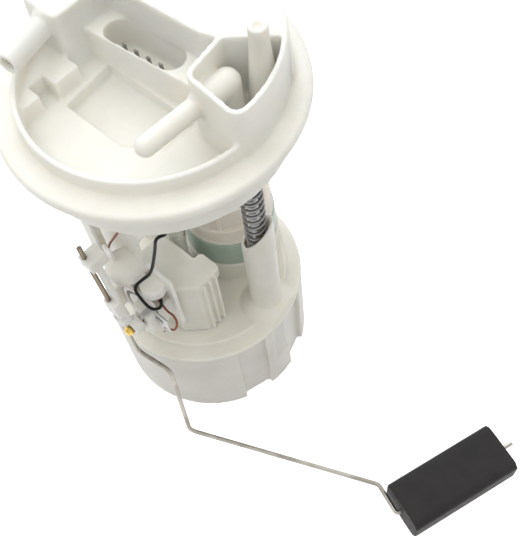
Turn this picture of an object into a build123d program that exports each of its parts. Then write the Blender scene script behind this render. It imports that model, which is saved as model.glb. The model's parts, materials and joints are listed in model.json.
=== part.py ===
from build123d import *
import math
import os

# Fuel pump module for a vehicle's tank. Millimetres, +Z up. The origin is the centre of the
# reservoir pot's underside, +X runs along the electrical connector, and the level sender and
# the fuel nipples face -Y.

# ------------------------------------------------------------------ driving dimensions
# Reservoir pot
POT_RADIUS = 51.8
POT_TOP = 57.5
POT_WALL = 2.4
POT_FLOOR = 2.5
FOOT_HEIGHT = 2.0
FOOT_RING = 3.6
FOOT_PAD_RADIUS = 8.0
FOOT_NOTCH_ANGLES = (60.0, 120.0, 210.0)
FOOT_NOTCH_WIDTH = 10.0
FOOT_NOTCH_HEIGHT = 1.5
FLUTE_ANGLES = (-17.0, 19.0, 161.0, 197.0)
FLUTE_WIDTH = 16.0
FLUTE_DEPTH = 3.3
FLUTE_CORNER = 1.6
PANEL_ANGLE = 4.5
PANEL_WIDTH = 12.0
PANEL_DEPTH = 1.0
PANEL_BOTTOM = 25.0
VALVE_AT = (0.0, -24.0)
VALVE_RADIUS = 9.5
VALVE_PORT_RADIUS = 2.5
VALVE_PORT_CIRCLE = 5.6
VALVE_PORTS = 4
VALVE_STEM_RADIUS = 1.4
VALVE_BULB_RADIUS = 2.2
VALVE_BULB_BOTTOM = 0.8
VALVE_HEIGHT = 1.6

# Reservoir lid
LID_OVERHANG = 0.2
LID_RADIUS = POT_RADIUS + LID_OVERHANG
LID_THICKNESS = 2.5
LID_STEP_INSET = 7.5
LID_STEP_RADIUS = LID_RADIUS - LID_STEP_INSET
LID_STEP = 2.0
LOCATING_WALL = 1.4
LOCATING_DEPTH = 3.0
LOCATING_CLEARANCE = 0.3
COLLAR_RADIUS = 24.5
COLLAR_TOP = 76.0
SLEEVE_RADIUS = 7.9
SLEEVE_LOW_SIDE = 118.0
SLEEVE_HIGH_SIDE = 138.0
SLEEVE_HIGH_HEADING = 34.5
SLEEVE_SEAT = 84.0
SLEEVE_FOOT_RADIUS = 15.5
SLEEVE_FOOT_HEIGHT = 9.0
REGULATOR_CUP_WALL = 1.6
REGULATOR_CUP_DEPTH = 6.0

# Guide rods and springs
ROD_INSET = 12.5
ROD_X = POT_RADIUS - ROD_INSET
ROD_Y = 7.9
ROD_RADIUS = 2.5
ROD_RUNNING_FIT = 0.05
ROD_END = 50.0
CLIP_RADIUS = 3.8
CLIP_THICKNESS = 1.2
CLIP_STOP_GAP = 0.3
SPRING_RADIUS = 5.3
SPRING_WIRE = 1.4
SPRING_PITCH = 4.4
SPRING_SIDES = 8
SPRING_BORE_GAP = 1.0

# Pump
PUMP_X = 1.0
PUMP_Y = 24.0
CAN_RADIUS = 19.0
CAN_WALL = 1.0
CAN_BOTTOM = 13.0
CAN_TOP = 90.0
LID_OPENING_GAP = 2.2
MAGNET_THICKNESS = 4.0
MAGNET_HALF_WIDTH = 12.5
AIR_GAP = 0.7
SHAFT_RADIUS = 1.5
SHAFT_RUNNING_FIT = 0.04
ARMATURE_LOW = 33.0
ARMATURE_HIGH = 65.0
ARMATURE_POLES = 7
POLE_SLOT = 2.4
POLE_ROOT = 0.45
COMMUTATOR_RADIUS = 5.2
COMMUTATOR_HEIGHT = 7.0
BRUSH_HOLDER_LOW = 75.0
BRUSH_GAP = 0.3
BRUSH_LENGTH = 6.5
BRUSH_WIDTH = 4.0
BRUSH_RISE = 1.5
BRUSH_HEIGHT = 4.0
BRUSH_PLATE = 5.0
BRUSH_LEG_WALL = 1.2
BRUSH_LEG_RISE = 0.6
IMPELLER_RADIUS = 16.0
IMPELLER_THICKNESS = 3.6
IMPELLER_VANES = 18
IMPELLER_VANE_DEPTH = 3.5
IMPELLER_VANE_GAP = 1.8
IMPELLER_GAP = 0.3
INLET_COVER_HEIGHT = 7.0
INLET_RADIUS = 5.5
INLET_WALL = 1.5
LOWER_BEARING_DEPTH = 3.0
UPPER_BEARING_DEPTH = 4.0
HOUSING_PLATE = 4.0
CHAMBER_PORT_RADIUS = 2.5
CHAMBER_PORT_INSET = 3.0
BAND_RADIUS = 23.4
BAND_TOP = 93.0
CAP_RADIUS = 22.3
CAP_RIM_TOP = 104.0
CAP_UNDERSIDE = 101.0
CAP_LIP = 0.6
CAP_LIP_HEIGHT = 1.6
CROWN_RADIUS = 19.4
CROWN_TOP = 116.0
CROWN_RIB = 2.0
CROWN_RIB_ANGLE = -54.0
TERMINAL_SPACING = 12.0
TERMINAL_HEIGHT = 8.0
TERMINAL_THICKNESS = 0.8
TERMINAL_WIDTH = 4.0
CAP_SKIRT_WALL = 1.5
CAP_SKIRT_BOTTOM = 80.0
FIT_GAP = 0.1
STRAINER_GAP = 4.4
STRAINER_RADIUS = POT_RADIUS - POT_WALL - PUMP_Y - STRAINER_GAP
STRAINER_THICKNESS = 5.0
STRAINER_TOP = 10.5
REGULATOR_AT = (-24.0, -20.0)
REGULATOR_RADIUS = 8.5
REGULATOR_HEIGHT = 15.0
REGULATOR_NOSE = 4.0
REGULATOR_NOSE_INSET = 2.5
REGULATOR_LIP = 1.6
REGULATOR_LIP_HEIGHT = 2.0

# Supply hose
HOSE_AT = (-4.5, -6.5)
HOSE_RADIUS = 3.9
HOSE_SPIGOT_RADIUS = 2.9
HOSE_SPIGOT_BORE = 1.7
HOSE_BOTTOM = 69.0
OUTLET_HEADING = 219.0
OUTLET_GAP = 0.4
OUTLET_RADIUS = 4.2
OUTLET_BORE = 2.2
OUTLET_ARM_TOP = 101.0
HOSE_TOP = 181.0
DUCT_X = -43.0
DUCT_Z = 186.0
DUCT_RADIUS = 4.2
HOSE_SPIGOT_LENGTH = 10.0
CLAMP_WALL = 0.9
CLAMP_WIDTH = 4.0
CLAMP_EAR_ANGLE = 200.0
CLAMP_EAR_REACH = 1.6
CLAMP_EAR_ROOT = 0.4
CLAMP_EAR_WIDTH = 2.4
CLAMP_INSET = 3.0

# Flange cover
FLANGE_RADIUS = 62.0
FLANGE_TOP = 204.0
FLANGE_THICKNESS = 4.5
FLANGE_EDGE = 1.8
SPIGOT_RADIUS = 54.9
SPIGOT_BOTTOM = 182.4
SPIGOT_WALL = 2.5
RIM_RADIUS = 52.1
RIM_WALL = 2.2
RIM_TOP = 211.5
FLOOR_TOP = 197.0
FLOOR_BOTTOM = 194.0
TALL_FOOT_RADIUS = 55.4
TALL_TOP_RADIUS = 53.6
TALL_TOP = 228.0
TALL_WALL = 2.2
DECK_LINE = ((-62.0, 10.4), (15.4, 15.2), (24.0, 18.5), (40.6, 33.0), (62.0, 51.7))
LEFT_BLOCK_ROUND = 3.0
LEFT_BLOCK = ((-62.0, -12.3), (-34.0, -12.3), (-34.0, 14.0), (-62.0, 14.0))
BAR = ((-34.0, -1.2), (26.4, 4.1), (25.0, 19.0), (-34.0, 14.0))
COMPARTMENT_CORNERS = ((27.0, -0.5), (62.0, -4.1), (62.0, 51.7), (24.0, 18.5))
COMPARTMENT_ROUND = 3.0
LEFT_BLOCK_TOP = 226.0
BAR_TOP = 213.0
COMPARTMENT_FLOOR = 199.0
WELL_FLOOR = 191.0
WELL_WALL = 2.4
WELL = ((-27.0, 0.5), (-24.0, -25.0), (8.0, -25.0), (22.0, -16.0), (22.0, 0.5))
STRIP = ((25.2, -3.0), (31.8, -3.0), (29.4, -22.0), (22.8, -22.0))
STRIP_TOP = 200.0
SHELF_TOP = 206.0
SHELF_RIGHT = -27.5
SHELF_FRONT = -46.0
SHELF_NOTCH_DEPTH = 7.5
SHELF_NOTCH_Y = (-32.0, -24.5)
SOCKET_AT = (-9.3, 7.85)
SOCKET_TURN = 5.0
SOCKET_LENGTH = 38.4
SOCKET_WIDTH = 11.8
SOCKET_FLOOR = 199.0
PIN_COUNT = 4
PIN_SPACING = 6.3
PIN_ROW_OFFSET = -2.3
PIN_WIDTH = 1.6
PIN_THICKNESS = 0.8
PIN_TOP = 209.5
PIN_BOTTOM = 184.0
PLUG_TOP = 188.2
PLUG_BOTTOM = 181.0
PLUG_FRONT = 2.6
PLUG_BACK = 3.5
PLUG_END = 3.0
ROD_BOSS_RADIUS = 7.5
ROD_BOSS_BOTTOM = 188.0
ROD_TOP = 196.5
LEG_TOP_WIDTH = 8.0
LEG_END_WIDTH = 7.0
LEG_X = -15.8
LEG_Y = -41.0
LEG_THICKNESS = 2.5
LEG_BOTTOM = 105.0
LEG_RIB_START = 10.0
LEG_RIB_DEPTH = 3.0
LEG_RIB_WIDTH = 2.0

# Fuel nipples and vent spigot
NIPPLE_1_ROOT = (-41.6, -12.3, 219.5)
NIPPLE_1_TURN = 13.0
NIPPLE_1_RADIUS = 4.75
NIPPLE_1_BORE = 2.9
NIPPLE_1_LENGTH = 23.5
NIPPLE_1_INNER = 6.0
NIPPLE_1_COLLAR = 1.2
NIPPLE_COLLAR_STEP = 0.9
NIPPLE_2_ROOT = (30.4, -0.9, 216.0)
NIPPLE_2_TURN = -3.0
NIPPLE_2_RADIUS = 4.0
NIPPLE_2_LENGTH = 30.5
NIPPLE_2_COLLAR = 2.8
ELBOW_RADIUS = 5.5
ELBOW_LENGTH = 12.5
VENT_AT = (38.0, 23.2)
VENT_TOP = 239.0
VENT_TOP_RADIUS = 3.8
VENT_FOOT_RADIUS = 6.4
VENT_STRAIGHT = 7.0
VENT_BORE = 1.8
VENT_BORE_DEPTH = 1.2

# Sender bracket, housing and card
BRACKET_X = (-8.0, 28.0)
BRACKET_Y = (-32.0, -12.0)
BRACKET_TOP = 105.0
BRACKET_WALL = 2.0
BRACKET_CHAMFER = 9.0
BRACKET_CHAMFER_LOSS = 0.6
BRACKET_ROUND = 1.5
RIB_COUNT = 3
RIB_THICKNESS = 1.4
RIB_DEPTH = 2.0
TAB_WIDTH = 13.0
TAB_REACH = 4.2
TAB_DROP = 6.5
TAB_ROUND = 2.5
HOUSING_X = (-7.5, 24.0)
HOUSING_FRONT = -48.0
HOUSING_BACK_WALL = 2.0
HOUSING_LOW = 80.0
HOUSING_SIDE_RISE = 6.0
DOME_SHELF = 3.0
DOME_AT = (1.0, -39.9)
DOME_RADIUS = 9.3
DOME_LOW = 116.0
DOME_TOP = 123.0
DOME_ROUND = 4.0
BACK_WING = ((-7.5, 84.0), (6.5, 116.0), (6.5, 134.0), (14.0, 148.0), (-26.0, 118.5), (-26.0, 98.0))
WIRE_GUIDE_X = (-8.2, -2.2)
WIRE_GUIDE_Y = (-42.6, -41.1)
WIRE_GUIDE_TOP = 130.3
BOSS_LEFT = 4.5
BOSS_RIGHT = 7.0
BOSS_BELOW = 6.0
BOSS_ABOVE = 9.0
EAR_AT = (15.5, -37.6)
EAR_RADIUS = 5.8
EAR_LOW = 110.0
EAR_TOP = 116.0
CARD_X = (-5.0, 21.0)
CARD_Z = (82.0, 109.7)
CARD_FRONT = -43.5
CARD_THICKNESS = 1.0
CARD_GAP = 0.3
TERMINAL_X = 29.0
TERMINAL_Z = (94.0, 105.0)
TERMINAL_STRIP = 3.5
TERMINAL_END = 4.0
TERMINAL_METAL = 0.6

# Float arm and float
PIVOT = (12.6, 92.0)
PIVOT_PIN_RADIUS = 1.8
PIN_HEAD_LIP = 0.6
PIN_HEAD_GAP = 0.3
PIN_HEAD_END = 1.0
PIVOT_RUNNING_FIT = 0.05
PIN_STAND = 3.2
ARM_PLANE = -55.5
ARM_WIRE_RADIUS = 1.1
ARM_BENDS = (4.0, 4.0, 4.0, 4.0, 1.7)
ARM_ROUTE = (
    (1.0, ARM_PLANE, 154.3),
    (10.4, ARM_PLANE, 66.0),
    (33.0, -53.6, 71.0),
    (41.6, -60.5, 17.0),
    (134.4, -18.0, 17.0),
    (150.2, -23.6, 17.0),
    (171.9, 42.9, 17.0),
)
HOLDER_FRONT = -57.2
HOLDER_BACK = -52.0
HOLDER_HUB_BACK = -49.0
HOLDER_FRONT_FACE = -54.4
HUB_RADIUS = 4.6
BAR_LEFT = 1.4
BAR_RIGHT = 5.4
BAR_FOOT = 6.0
HUB_WEB = 4.0
GRIP_LEFT = -2.2
GRIPS = ((96.5, 100.0), (103.5, 114.0))
FINGER_Z = (141.5, 147.5)
FINGER_LEFT = -2.6
FINGER_BACK = -48.0
WIPER_RADIUS = 13.5
WIPER_WIDTH = 2.2
WIPER_TIP = 1.5
WIPER_THICKNESS = 0.5
WIPER_ANGLE = 68.0
FLOAT_LENGTH = 60.0
FLOAT_WIDTH = 26.0
FLOAT_THICKNESS = 20.0
FLOAT_CORNER = 4.5
FLOAT_END_GAP = 2.5
FLOAT_RUNNING_FIT = 0.08

# Leads between the connector and the sender
BLACK_LEAD_RADIUS = 0.75
RED_LEAD_RADIUS = 0.55
LEAD_SIDES = 6
BLACK_ROUTE = (
    (0.3, 6.4, 181.0),
    (0.3, 6.4, 172.5),
    (7.4, -1.0, 165.0),
    (15.6, -13.0, 158.0),
    (24.0, -26.4, 152.4),
    (22.6, -32.0, 155.6),
    (21.4, -33.4, 146.0),
    (16.6, -36.4, 125.0),
    (13.4, -40.0, 120.8),
    (12.8, -45.4, 120.0),
    (17.0, -46.2, 116.4),
    (22.2, -46.0, 111.2),
    (25.2, -42.6, 111.0),
    (21.6, -39.0, 108.6),
    (16.6, -37.4, 107.8),
    (16.6, -34.0, 107.8),
)
RED_ROUTE = (
    (-6.0, 5.8, 181.0),
    (-6.0, 5.8, 172.5),
    (0.6, 0.2, 166.6),
    (4.4, -13.0, 162.4),
    (5.2, -28.0, 155.0),
    (0.2, -37.4, 141.6),
    (-10.2, -39.9, 122.8),
    (-9.8, -38.6, 111.6),
    (-2.6, -38.0, 103.5),
    (10.0, -37.6, 106.0),
    (19.4, -38.6, 103.0),
    (23.6, -39.2, 100.6),
    (28.2, -39.4, 103.7),
    (31.8, -40.4, 101.4),
    (30.6, -43.2, 94.4),
    (25.0, -43.8, 93.9),
)

UP = (Align.CENTER, Align.CENTER, Align.MIN)


# ------------------------------------------------------------------ small helpers
def post(radius, low, high, at=(0.0, 0.0)):
    """Upright cylinder between two heights."""
    return Pos(at[0], at[1], low) * Cylinder(radius, high - low, align=UP)


def ring(outer, inner, low, high, at=(0.0, 0.0)):
    """Upright tube between two heights."""
    return post(outer, low, high, at) - post(inner, low, high, at)


def taper(low_radius, high_radius, low, high, at=(0.0, 0.0)):
    """Upright cone between two heights."""
    return Pos(at[0], at[1], low) * Cone(low_radius, high_radius, high - low, align=UP)


def block(x, y, z):
    """Box between a low and a high limit on each axis."""
    size = (x[1] - x[0], y[1] - y[0], z[1] - z[0])
    return Pos((x[0] + x[1]) / 2, (y[0] + y[1]) / 2, (z[0] + z[1]) / 2) * Box(*size)


def prism(sketch, low, high):
    """Upright prism on a sketch drawn on the base plane."""
    return Pos(0, 0, low) * extrude(sketch, high - low)


def plan(*points):
    """Closed outline through corner points."""
    return Polygon(*points, align=None)


def rod_between(start, end, radius):
    """Round bar from one point to another."""
    run = Vector(*end) - Vector(*start)
    return Plane(origin=start, z_dir=run) * Cylinder(radius, run.length, align=UP)


def bend_radii(points):
    """Largest even arc for each corner of a lead's route."""
    radii = []
    for before, corner, after in zip(points, points[1:], points[2:]):
        arriving = Vector(*corner) - Vector(*before)
        leaving = Vector(*after) - Vector(*corner)
        half_turn = math.radians(arriving.get_angle(leaving)) / 2
        radii.append(0.45 * min(arriving.length, leaving.length) / math.tan(half_turn))
    return radii


def tube_on(points, radii, radius, sides=None):
    """Bar swept along straight runs joined by tangent arcs, and its section times its length."""
    path = FilletPolyline(*points, radius=radii)
    outline = RegularPolygon(radius, sides) if sides else Circle(radius)
    section = Plane(path @ 0, z_dir=path % 0) * outline
    return sweep(section, path), section.area * path.length


# ------------------------------------------------------------------ reservoir pot
def pot_outline(inset):
    """Round outline with four flat-bottomed flutes, moved inwards by a wall."""
    outline = Circle(POT_RADIUS - inset)
    reach = FLUTE_DEPTH + inset
    groove = RectangleRounded(4 * reach, FLUTE_WIDTH + 2 * inset, FLUTE_CORNER)
    for angle in FLUTE_ANGLES:
        outline -= Rot(0, 0, angle) * Pos(POT_RADIUS + reach, 0) * groove
    return outline


def reservoir_pot():
    floor_top = FOOT_HEIGHT + POT_FLOOR
    pot = prism(pot_outline(0), 0, POT_TOP)
    pot -= prism(pot_outline(POT_WALL), floor_top, POT_TOP)
    pot -= prism(pot_outline(FOOT_RING), 0, FOOT_HEIGHT)
    pot += post(FOOT_PAD_RADIUS, 0, FOOT_HEIGHT)
    for angle in FOOT_NOTCH_ANGLES:
        notch = block((POT_RADIUS - 3 * FOOT_RING, POT_RADIUS + 1),
                      (-FOOT_NOTCH_WIDTH / 2, FOOT_NOTCH_WIDTH / 2), (0, FOOT_NOTCH_HEIGHT))
        pot -= Rot(0, 0, angle) * notch
    panel = block((POT_RADIUS - PANEL_DEPTH, POT_RADIUS + 1), (-PANEL_WIDTH / 2, PANEL_WIDTH / 2),
                  (PANEL_BOTTOM, POT_TOP))
    pot -= Rot(0, 0, PANEL_ANGLE) * panel
    for port in PolarLocations(VALVE_PORT_CIRCLE, VALVE_PORTS):
        pot -= Pos(*VALVE_AT, 0) * port * Cylinder(VALVE_PORT_RADIUS, 4 * floor_top)
    pot -= post(VALVE_STEM_RADIUS + FIT_GAP, 0, floor_top, VALVE_AT)
    return pot


def foot_valve():
    """Rubber umbrella that lets fuel rise through the floor and not drain."""
    seat = FOOT_HEIGHT + POT_FLOOR
    profile = Polyline(
        (0, VALVE_BULB_BOTTOM),
        (VALVE_STEM_RADIUS, VALVE_BULB_BOTTOM),
        (VALVE_BULB_RADIUS, FOOT_HEIGHT),
        (VALVE_STEM_RADIUS, FOOT_HEIGHT),
        (VALVE_STEM_RADIUS, seat),
        (VALVE_RADIUS, seat),
        (VALVE_RADIUS, seat + 0.5),
        (VALVE_STEM_RADIUS + 1, seat + VALVE_HEIGHT),
        (0, seat + VALVE_HEIGHT),
        close=True,
    )
    umbrella = revolve(Plane.XZ * make_face(profile), Axis.Z)
    return Pos(*VALVE_AT, 0) * umbrella


# ------------------------------------------------------------------ reservoir lid
def outlet_place():
    """Where the outlet pipe stands, just outside the pump's collar."""
    reach = COLLAR_RADIUS + OUTLET_RADIUS + OUTLET_GAP
    angle = math.radians(OUTLET_HEADING)
    return (PUMP_X + reach * math.cos(angle), PUMP_Y + reach * math.sin(angle))


def rod_places():
    return ((-ROD_X, ROD_Y), (ROD_X, ROD_Y))


def spring_sleeve(at):
    """Tube that guides a spring, with a flared foot and a mouth that slants up to the outside."""
    lid_face = POT_TOP + LID_THICKNESS
    foot = taper(SLEEVE_FOOT_RADIUS, SLEEVE_RADIUS, lid_face, lid_face + SLEEVE_FOOT_HEIGHT, at)
    foot &= post(LID_RADIUS - 1, lid_face, lid_face + SLEEVE_FOOT_HEIGHT)
    sleeve = foot + post(SLEEVE_RADIUS, lid_face, SLEEVE_HIGH_SIDE, at)
    side = math.copysign(1, at[0])
    heading = math.radians(SLEEVE_HIGH_HEADING)
    rise = SLEEVE_HIGH_SIDE - SLEEVE_LOW_SIDE
    middle = (SLEEVE_HIGH_SIDE + SLEEVE_LOW_SIDE) / 2
    lean = (-side * rise * math.cos(heading), -rise * math.sin(heading), 2 * SLEEVE_RADIUS)
    mouth = Plane(origin=(at[0], at[1], middle), z_dir=lean)
    return sleeve - mouth * Cylinder(2 * rise, 2 * rise, align=UP)


def lid_passage(low):
    """Raised passage along the lid, from the outlet pipe to the hose's lower spigot."""
    outlet = outlet_place()
    run = Vector(*HOSE_AT) - Vector(*outlet)
    heading = math.degrees(math.atan2(run.Y, run.X))
    bar = block((0, run.length), (-OUTLET_RADIUS, OUTLET_RADIUS), (low, HOSE_BOTTOM))
    passage = Pos(*outlet, 0) * Rot(0, 0, heading) * bar
    for at in (outlet, HOSE_AT):
        passage += post(OUTLET_RADIUS, low, HOSE_BOTTOM, at)
    spigot = hose_spigot(HOSE_BOTTOM, HOSE_BOTTOM + HOSE_SPIGOT_LENGTH)
    return passage + spigot - post(HOSE_SPIGOT_BORE, low, HOSE_BOTTOM + HOSE_SPIGOT_LENGTH, HOSE_AT)


def reservoir_lid():
    lid_face = POT_TOP + LID_THICKNESS
    plateau = lid_face + LID_STEP
    lid = post(LID_RADIUS, POT_TOP, lid_face)
    lid += post(LID_STEP_RADIUS, lid_face, plateau)
    locating = POT_RADIUS - FLUTE_DEPTH - POT_WALL - LOCATING_CLEARANCE
    lid += ring(locating, locating - LOCATING_WALL, POT_TOP - LOCATING_DEPTH, POT_TOP)
    lid += post(COLLAR_RADIUS, lid_face, COLLAR_TOP, (PUMP_X, PUMP_Y))
    cup_low = POT_TOP - REGULATOR_CUP_DEPTH
    lid += post(REGULATOR_RADIUS + REGULATOR_CUP_WALL, cup_low, lid_face, REGULATOR_AT)
    for at in rod_places():
        lid += spring_sleeve(at)
    lid += lid_passage(plateau)
    lid -= post(CAN_RADIUS + LID_OPENING_GAP, POT_TOP, COLLAR_TOP, (PUMP_X, PUMP_Y))
    lid -= post(REGULATOR_RADIUS, cup_low, POT_TOP, REGULATOR_AT)
    for at in rod_places():
        lid -= post(SPRING_RADIUS + SPRING_BORE_GAP, SLEEVE_SEAT, SLEEVE_HIGH_SIDE, at)
        lid -= post(ROD_RADIUS + ROD_RUNNING_FIT, POT_TOP, SLEEVE_SEAT, at)
    return lid


def compression_spring(at):
    """Round coils as many-sided turns of square wire, from the sleeve's seat to the cover."""
    low = SLEEVE_SEAT + SPRING_WIRE / 2
    high = ROD_BOSS_BOTTOM - SPRING_WIRE / 2
    turns = (high - low) / SPRING_PITCH
    steps = round(turns * SPRING_SIDES)
    middle = SPRING_RADIUS - SPRING_WIRE / 2
    half = SPRING_WIRE / 2
    rings = []
    for step in range(steps + 1):
        angle = 2 * math.pi * turns * step / steps
        height = low + (high - low) * step / steps
        corners = []
        for out, rise in ((-half, -half), (half, -half), (half, half), (-half, half)):
            reach = middle + out
            x = at[0] + reach * math.cos(angle)
            y = at[1] + reach * math.sin(angle)
            corners.append((x, y, height + rise))
        rings.append(corners)
    faces = [Face(Wire.make_polygon(rings[0])), Face(Wire.make_polygon(rings[-1]))]
    for lower, upper in zip(rings, rings[1:]):
        for side in range(4):
            after = (side + 1) % 4
            faces.append(Face(Wire.make_polygon([lower[side], lower[after], upper[after]])))
            faces.append(Face(Wire.make_polygon([lower[side], upper[after], upper[side]])))
    return Solid(Shell(faces))


def guide_rod(at):
    return post(ROD_RADIUS, ROD_END, ROD_TOP, at)


def rod_clip(at):
    """Ring clipped on the rod's end, below the lid, that stops the cover rising."""
    top = POT_TOP - CLIP_STOP_GAP
    return ring(CLIP_RADIUS, ROD_RADIUS, top - CLIP_THICKNESS, top, at)


# ------------------------------------------------------------------ pump
def pump_at(shape):
    return Pos(PUMP_X, PUMP_Y, 0) * shape


def pump_can():
    return pump_at(ring(CAN_RADIUS, CAN_RADIUS - CAN_WALL, CAN_BOTTOM, CAN_TOP))


def magnet(side):
    inner = CAN_RADIUS - CAN_WALL - MAGNET_THICKNESS
    arc = ring(CAN_RADIUS - CAN_WALL, inner, ARMATURE_LOW - 1, ARMATURE_HIGH + 1)
    keep = block((0, CAN_RADIUS), (-MAGNET_HALF_WIDTH, MAGNET_HALF_WIDTH), (0, CAN_TOP))
    if side < 0:
        keep = Rot(0, 0, 180) * keep
    return pump_at(arc & keep)


def inlet_cover():
    top = CAN_BOTTOM + INLET_COVER_HEIGHT
    cover = post(CAN_RADIUS - CAN_WALL, CAN_BOTTOM, top)
    cover += post(INLET_RADIUS, STRAINER_TOP, CAN_BOTTOM)
    cover -= post(INLET_RADIUS - INLET_WALL, STRAINER_TOP, top, (0, 0)) & block(
        (-INLET_RADIUS, INLET_RADIUS), (-INLET_RADIUS, 0), (0, top - 2))
    cover -= post(SHAFT_RADIUS + SHAFT_RUNNING_FIT, top - LOWER_BEARING_DEPTH, top)
    return pump_at(cover)


def pump_housing():
    low = CAN_BOTTOM + INLET_COVER_HEIGHT
    chamber = low + IMPELLER_THICKNESS + 2 * IMPELLER_GAP
    housing = ring(CAN_RADIUS - CAN_WALL, IMPELLER_RADIUS + IMPELLER_GAP, low, chamber)
    housing += post(CAN_RADIUS - CAN_WALL, chamber, chamber + HOUSING_PLATE)
    housing -= post(SHAFT_RADIUS + SHAFT_RUNNING_FIT, chamber, chamber + HOUSING_PLATE)
    port_at = (0, CHAMBER_PORT_INSET - IMPELLER_RADIUS)
    housing -= post(CHAMBER_PORT_RADIUS, chamber, chamber + HOUSING_PLATE, port_at)
    return pump_at(housing)


def impeller():
    low = CAN_BOTTOM + INLET_COVER_HEIGHT + IMPELLER_GAP
    high = low + IMPELLER_THICKNESS
    wheel = post(IMPELLER_RADIUS, low, high) - post(SHAFT_RADIUS, low, high)
    slot = block((IMPELLER_RADIUS - IMPELLER_VANE_DEPTH, IMPELLER_RADIUS + 1),
                 (-IMPELLER_VANE_GAP / 2, IMPELLER_VANE_GAP / 2), (low, high))
    for turn in range(IMPELLER_VANES):
        wheel -= Rot(0, 0, turn * 360 / IMPELLER_VANES) * slot
    return pump_at(wheel)


def pump_shaft():
    low = CAN_BOTTOM + INLET_COVER_HEIGHT - LOWER_BEARING_DEPTH + IMPELLER_GAP
    return pump_at(post(SHAFT_RADIUS, low, BRUSH_HOLDER_LOW + UPPER_BEARING_DEPTH))


def armature():
    outer = CAN_RADIUS - CAN_WALL - MAGNET_THICKNESS - AIR_GAP
    core = post(outer, ARMATURE_LOW, ARMATURE_HIGH)
    slot = block((outer * POLE_ROOT, outer + 1), (-POLE_SLOT / 2, POLE_SLOT / 2),
                 (ARMATURE_LOW, ARMATURE_HIGH))
    for turn in range(ARMATURE_POLES):
        core -= Rot(0, 0, turn * 360 / ARMATURE_POLES) * slot
    core -= post(SHAFT_RADIUS, ARMATURE_LOW, ARMATURE_HIGH)
    return pump_at(core)


def commutator():
    top = ARMATURE_HIGH + COMMUTATOR_HEIGHT
    return pump_at(ring(COMMUTATOR_RADIUS, SHAFT_RADIUS, ARMATURE_HIGH, top))


def brush_band():
    """Heights between which the brushes stand."""
    low = ARMATURE_HIGH + BRUSH_RISE
    return low, low + BRUSH_HEIGHT


def brush(side):
    near = COMMUTATOR_RADIUS + BRUSH_GAP
    x = (near, near + BRUSH_LENGTH)
    piece = block(x, (-BRUSH_WIDTH / 2, BRUSH_WIDTH / 2), brush_band())
    return pump_at(Rot(0, 0, 90 + side * 90) * piece)


def brush_holder():
    """Moulded plate with the upper bearing and a channel down each side for a brush."""
    top = BRUSH_HOLDER_LOW + BRUSH_PLATE
    plate = post(CAN_RADIUS - CAN_WALL - FIT_GAP, BRUSH_HOLDER_LOW, top)
    plate -= post(SHAFT_RADIUS + SHAFT_RUNNING_FIT, BRUSH_HOLDER_LOW, top)
    near = COMMUTATOR_RADIUS + BRUSH_GAP + 1
    half = BRUSH_WIDTH / 2
    leg = block((near, near + BRUSH_LENGTH), (-half - BRUSH_LEG_WALL, half + BRUSH_LEG_WALL),
                (ARMATURE_HIGH + BRUSH_LEG_RISE, BRUSH_HOLDER_LOW))
    leg -= block((0, near + BRUSH_LENGTH - 1), (-half, half), brush_band())
    for turn in (0, 180):
        plate += Rot(0, 0, turn) * leg
    return pump_at(plate)


def pump_cap():
    """Moulded top: skirt over the can, rim that rests on the isolator, crown and outlet arm."""
    skirt_inner = CAN_RADIUS + FIT_GAP
    skirt_outer = skirt_inner + CAP_SKIRT_WALL
    cap = post(CAP_RADIUS, BAND_TOP, CAP_RIM_TOP)
    cap += post(CAP_RADIUS + CAP_LIP, BAND_TOP, BAND_TOP + CAP_LIP_HEIGHT)
    cap += post(CROWN_RADIUS, CAP_RIM_TOP, CROWN_TOP)
    rib = block((CROWN_RADIUS - 1, CROWN_RADIUS + CROWN_RIB), (-CROWN_RIB / 2, CROWN_RIB / 2),
                (CAP_RIM_TOP, CROWN_TOP))
    cap += Rot(0, 0, CROWN_RIB_ANGLE) * rib
    cap += post(skirt_outer, CAP_SKIRT_BOTTOM, BAND_TOP)
    cap -= post(skirt_inner, CAP_SKIRT_BOTTOM, CAN_TOP)
    cap -= post(skirt_inner - CAP_SKIRT_WALL, CAN_TOP, CAP_UNDERSIDE)
    cap = pump_at(cap)
    reach = COLLAR_RADIUS + OUTLET_RADIUS + OUTLET_GAP
    arm = block((CROWN_RADIUS - 1, reach), (-OUTLET_RADIUS, OUTLET_RADIUS), (BAND_TOP, OUTLET_ARM_TOP))
    cap += pump_at(Rot(0, 0, OUTLET_HEADING) * arm)
    cap += post(OUTLET_RADIUS, BAND_TOP, OUTLET_ARM_TOP, outlet_place())
    return cap


def outlet_pipe():
    """Pipe that takes the fuel from the cap's arm down to the passage on the lid."""
    return ring(OUTLET_RADIUS, OUTLET_BORE, HOSE_BOTTOM, BAND_TOP, outlet_place())


def hose_spigot(low, high):
    """Plain spigot that the hose is pushed over."""
    return post(HOSE_SPIGOT_RADIUS, low, high, HOSE_AT)


def isolator_band():
    inner = CAN_RADIUS + FIT_GAP + CAP_SKIRT_WALL
    low = ring(BAND_RADIUS, inner, COLLAR_TOP, BAND_TOP)
    return pump_at(low)


def pump_terminals():
    """Two blades that stand on the cap's crown."""
    blade = block((-TERMINAL_WIDTH / 2, TERMINAL_WIDTH / 2), (0, TERMINAL_THICKNESS),
                  (CROWN_TOP, CROWN_TOP + TERMINAL_HEIGHT))
    return Compound([pump_at(Pos(side * TERMINAL_SPACING / 2, 0, 0) * blade) for side in (-1, 1)])


def inlet_strainer():
    return pump_at(post(STRAINER_RADIUS, STRAINER_TOP - STRAINER_THICKNESS, STRAINER_TOP))


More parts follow.
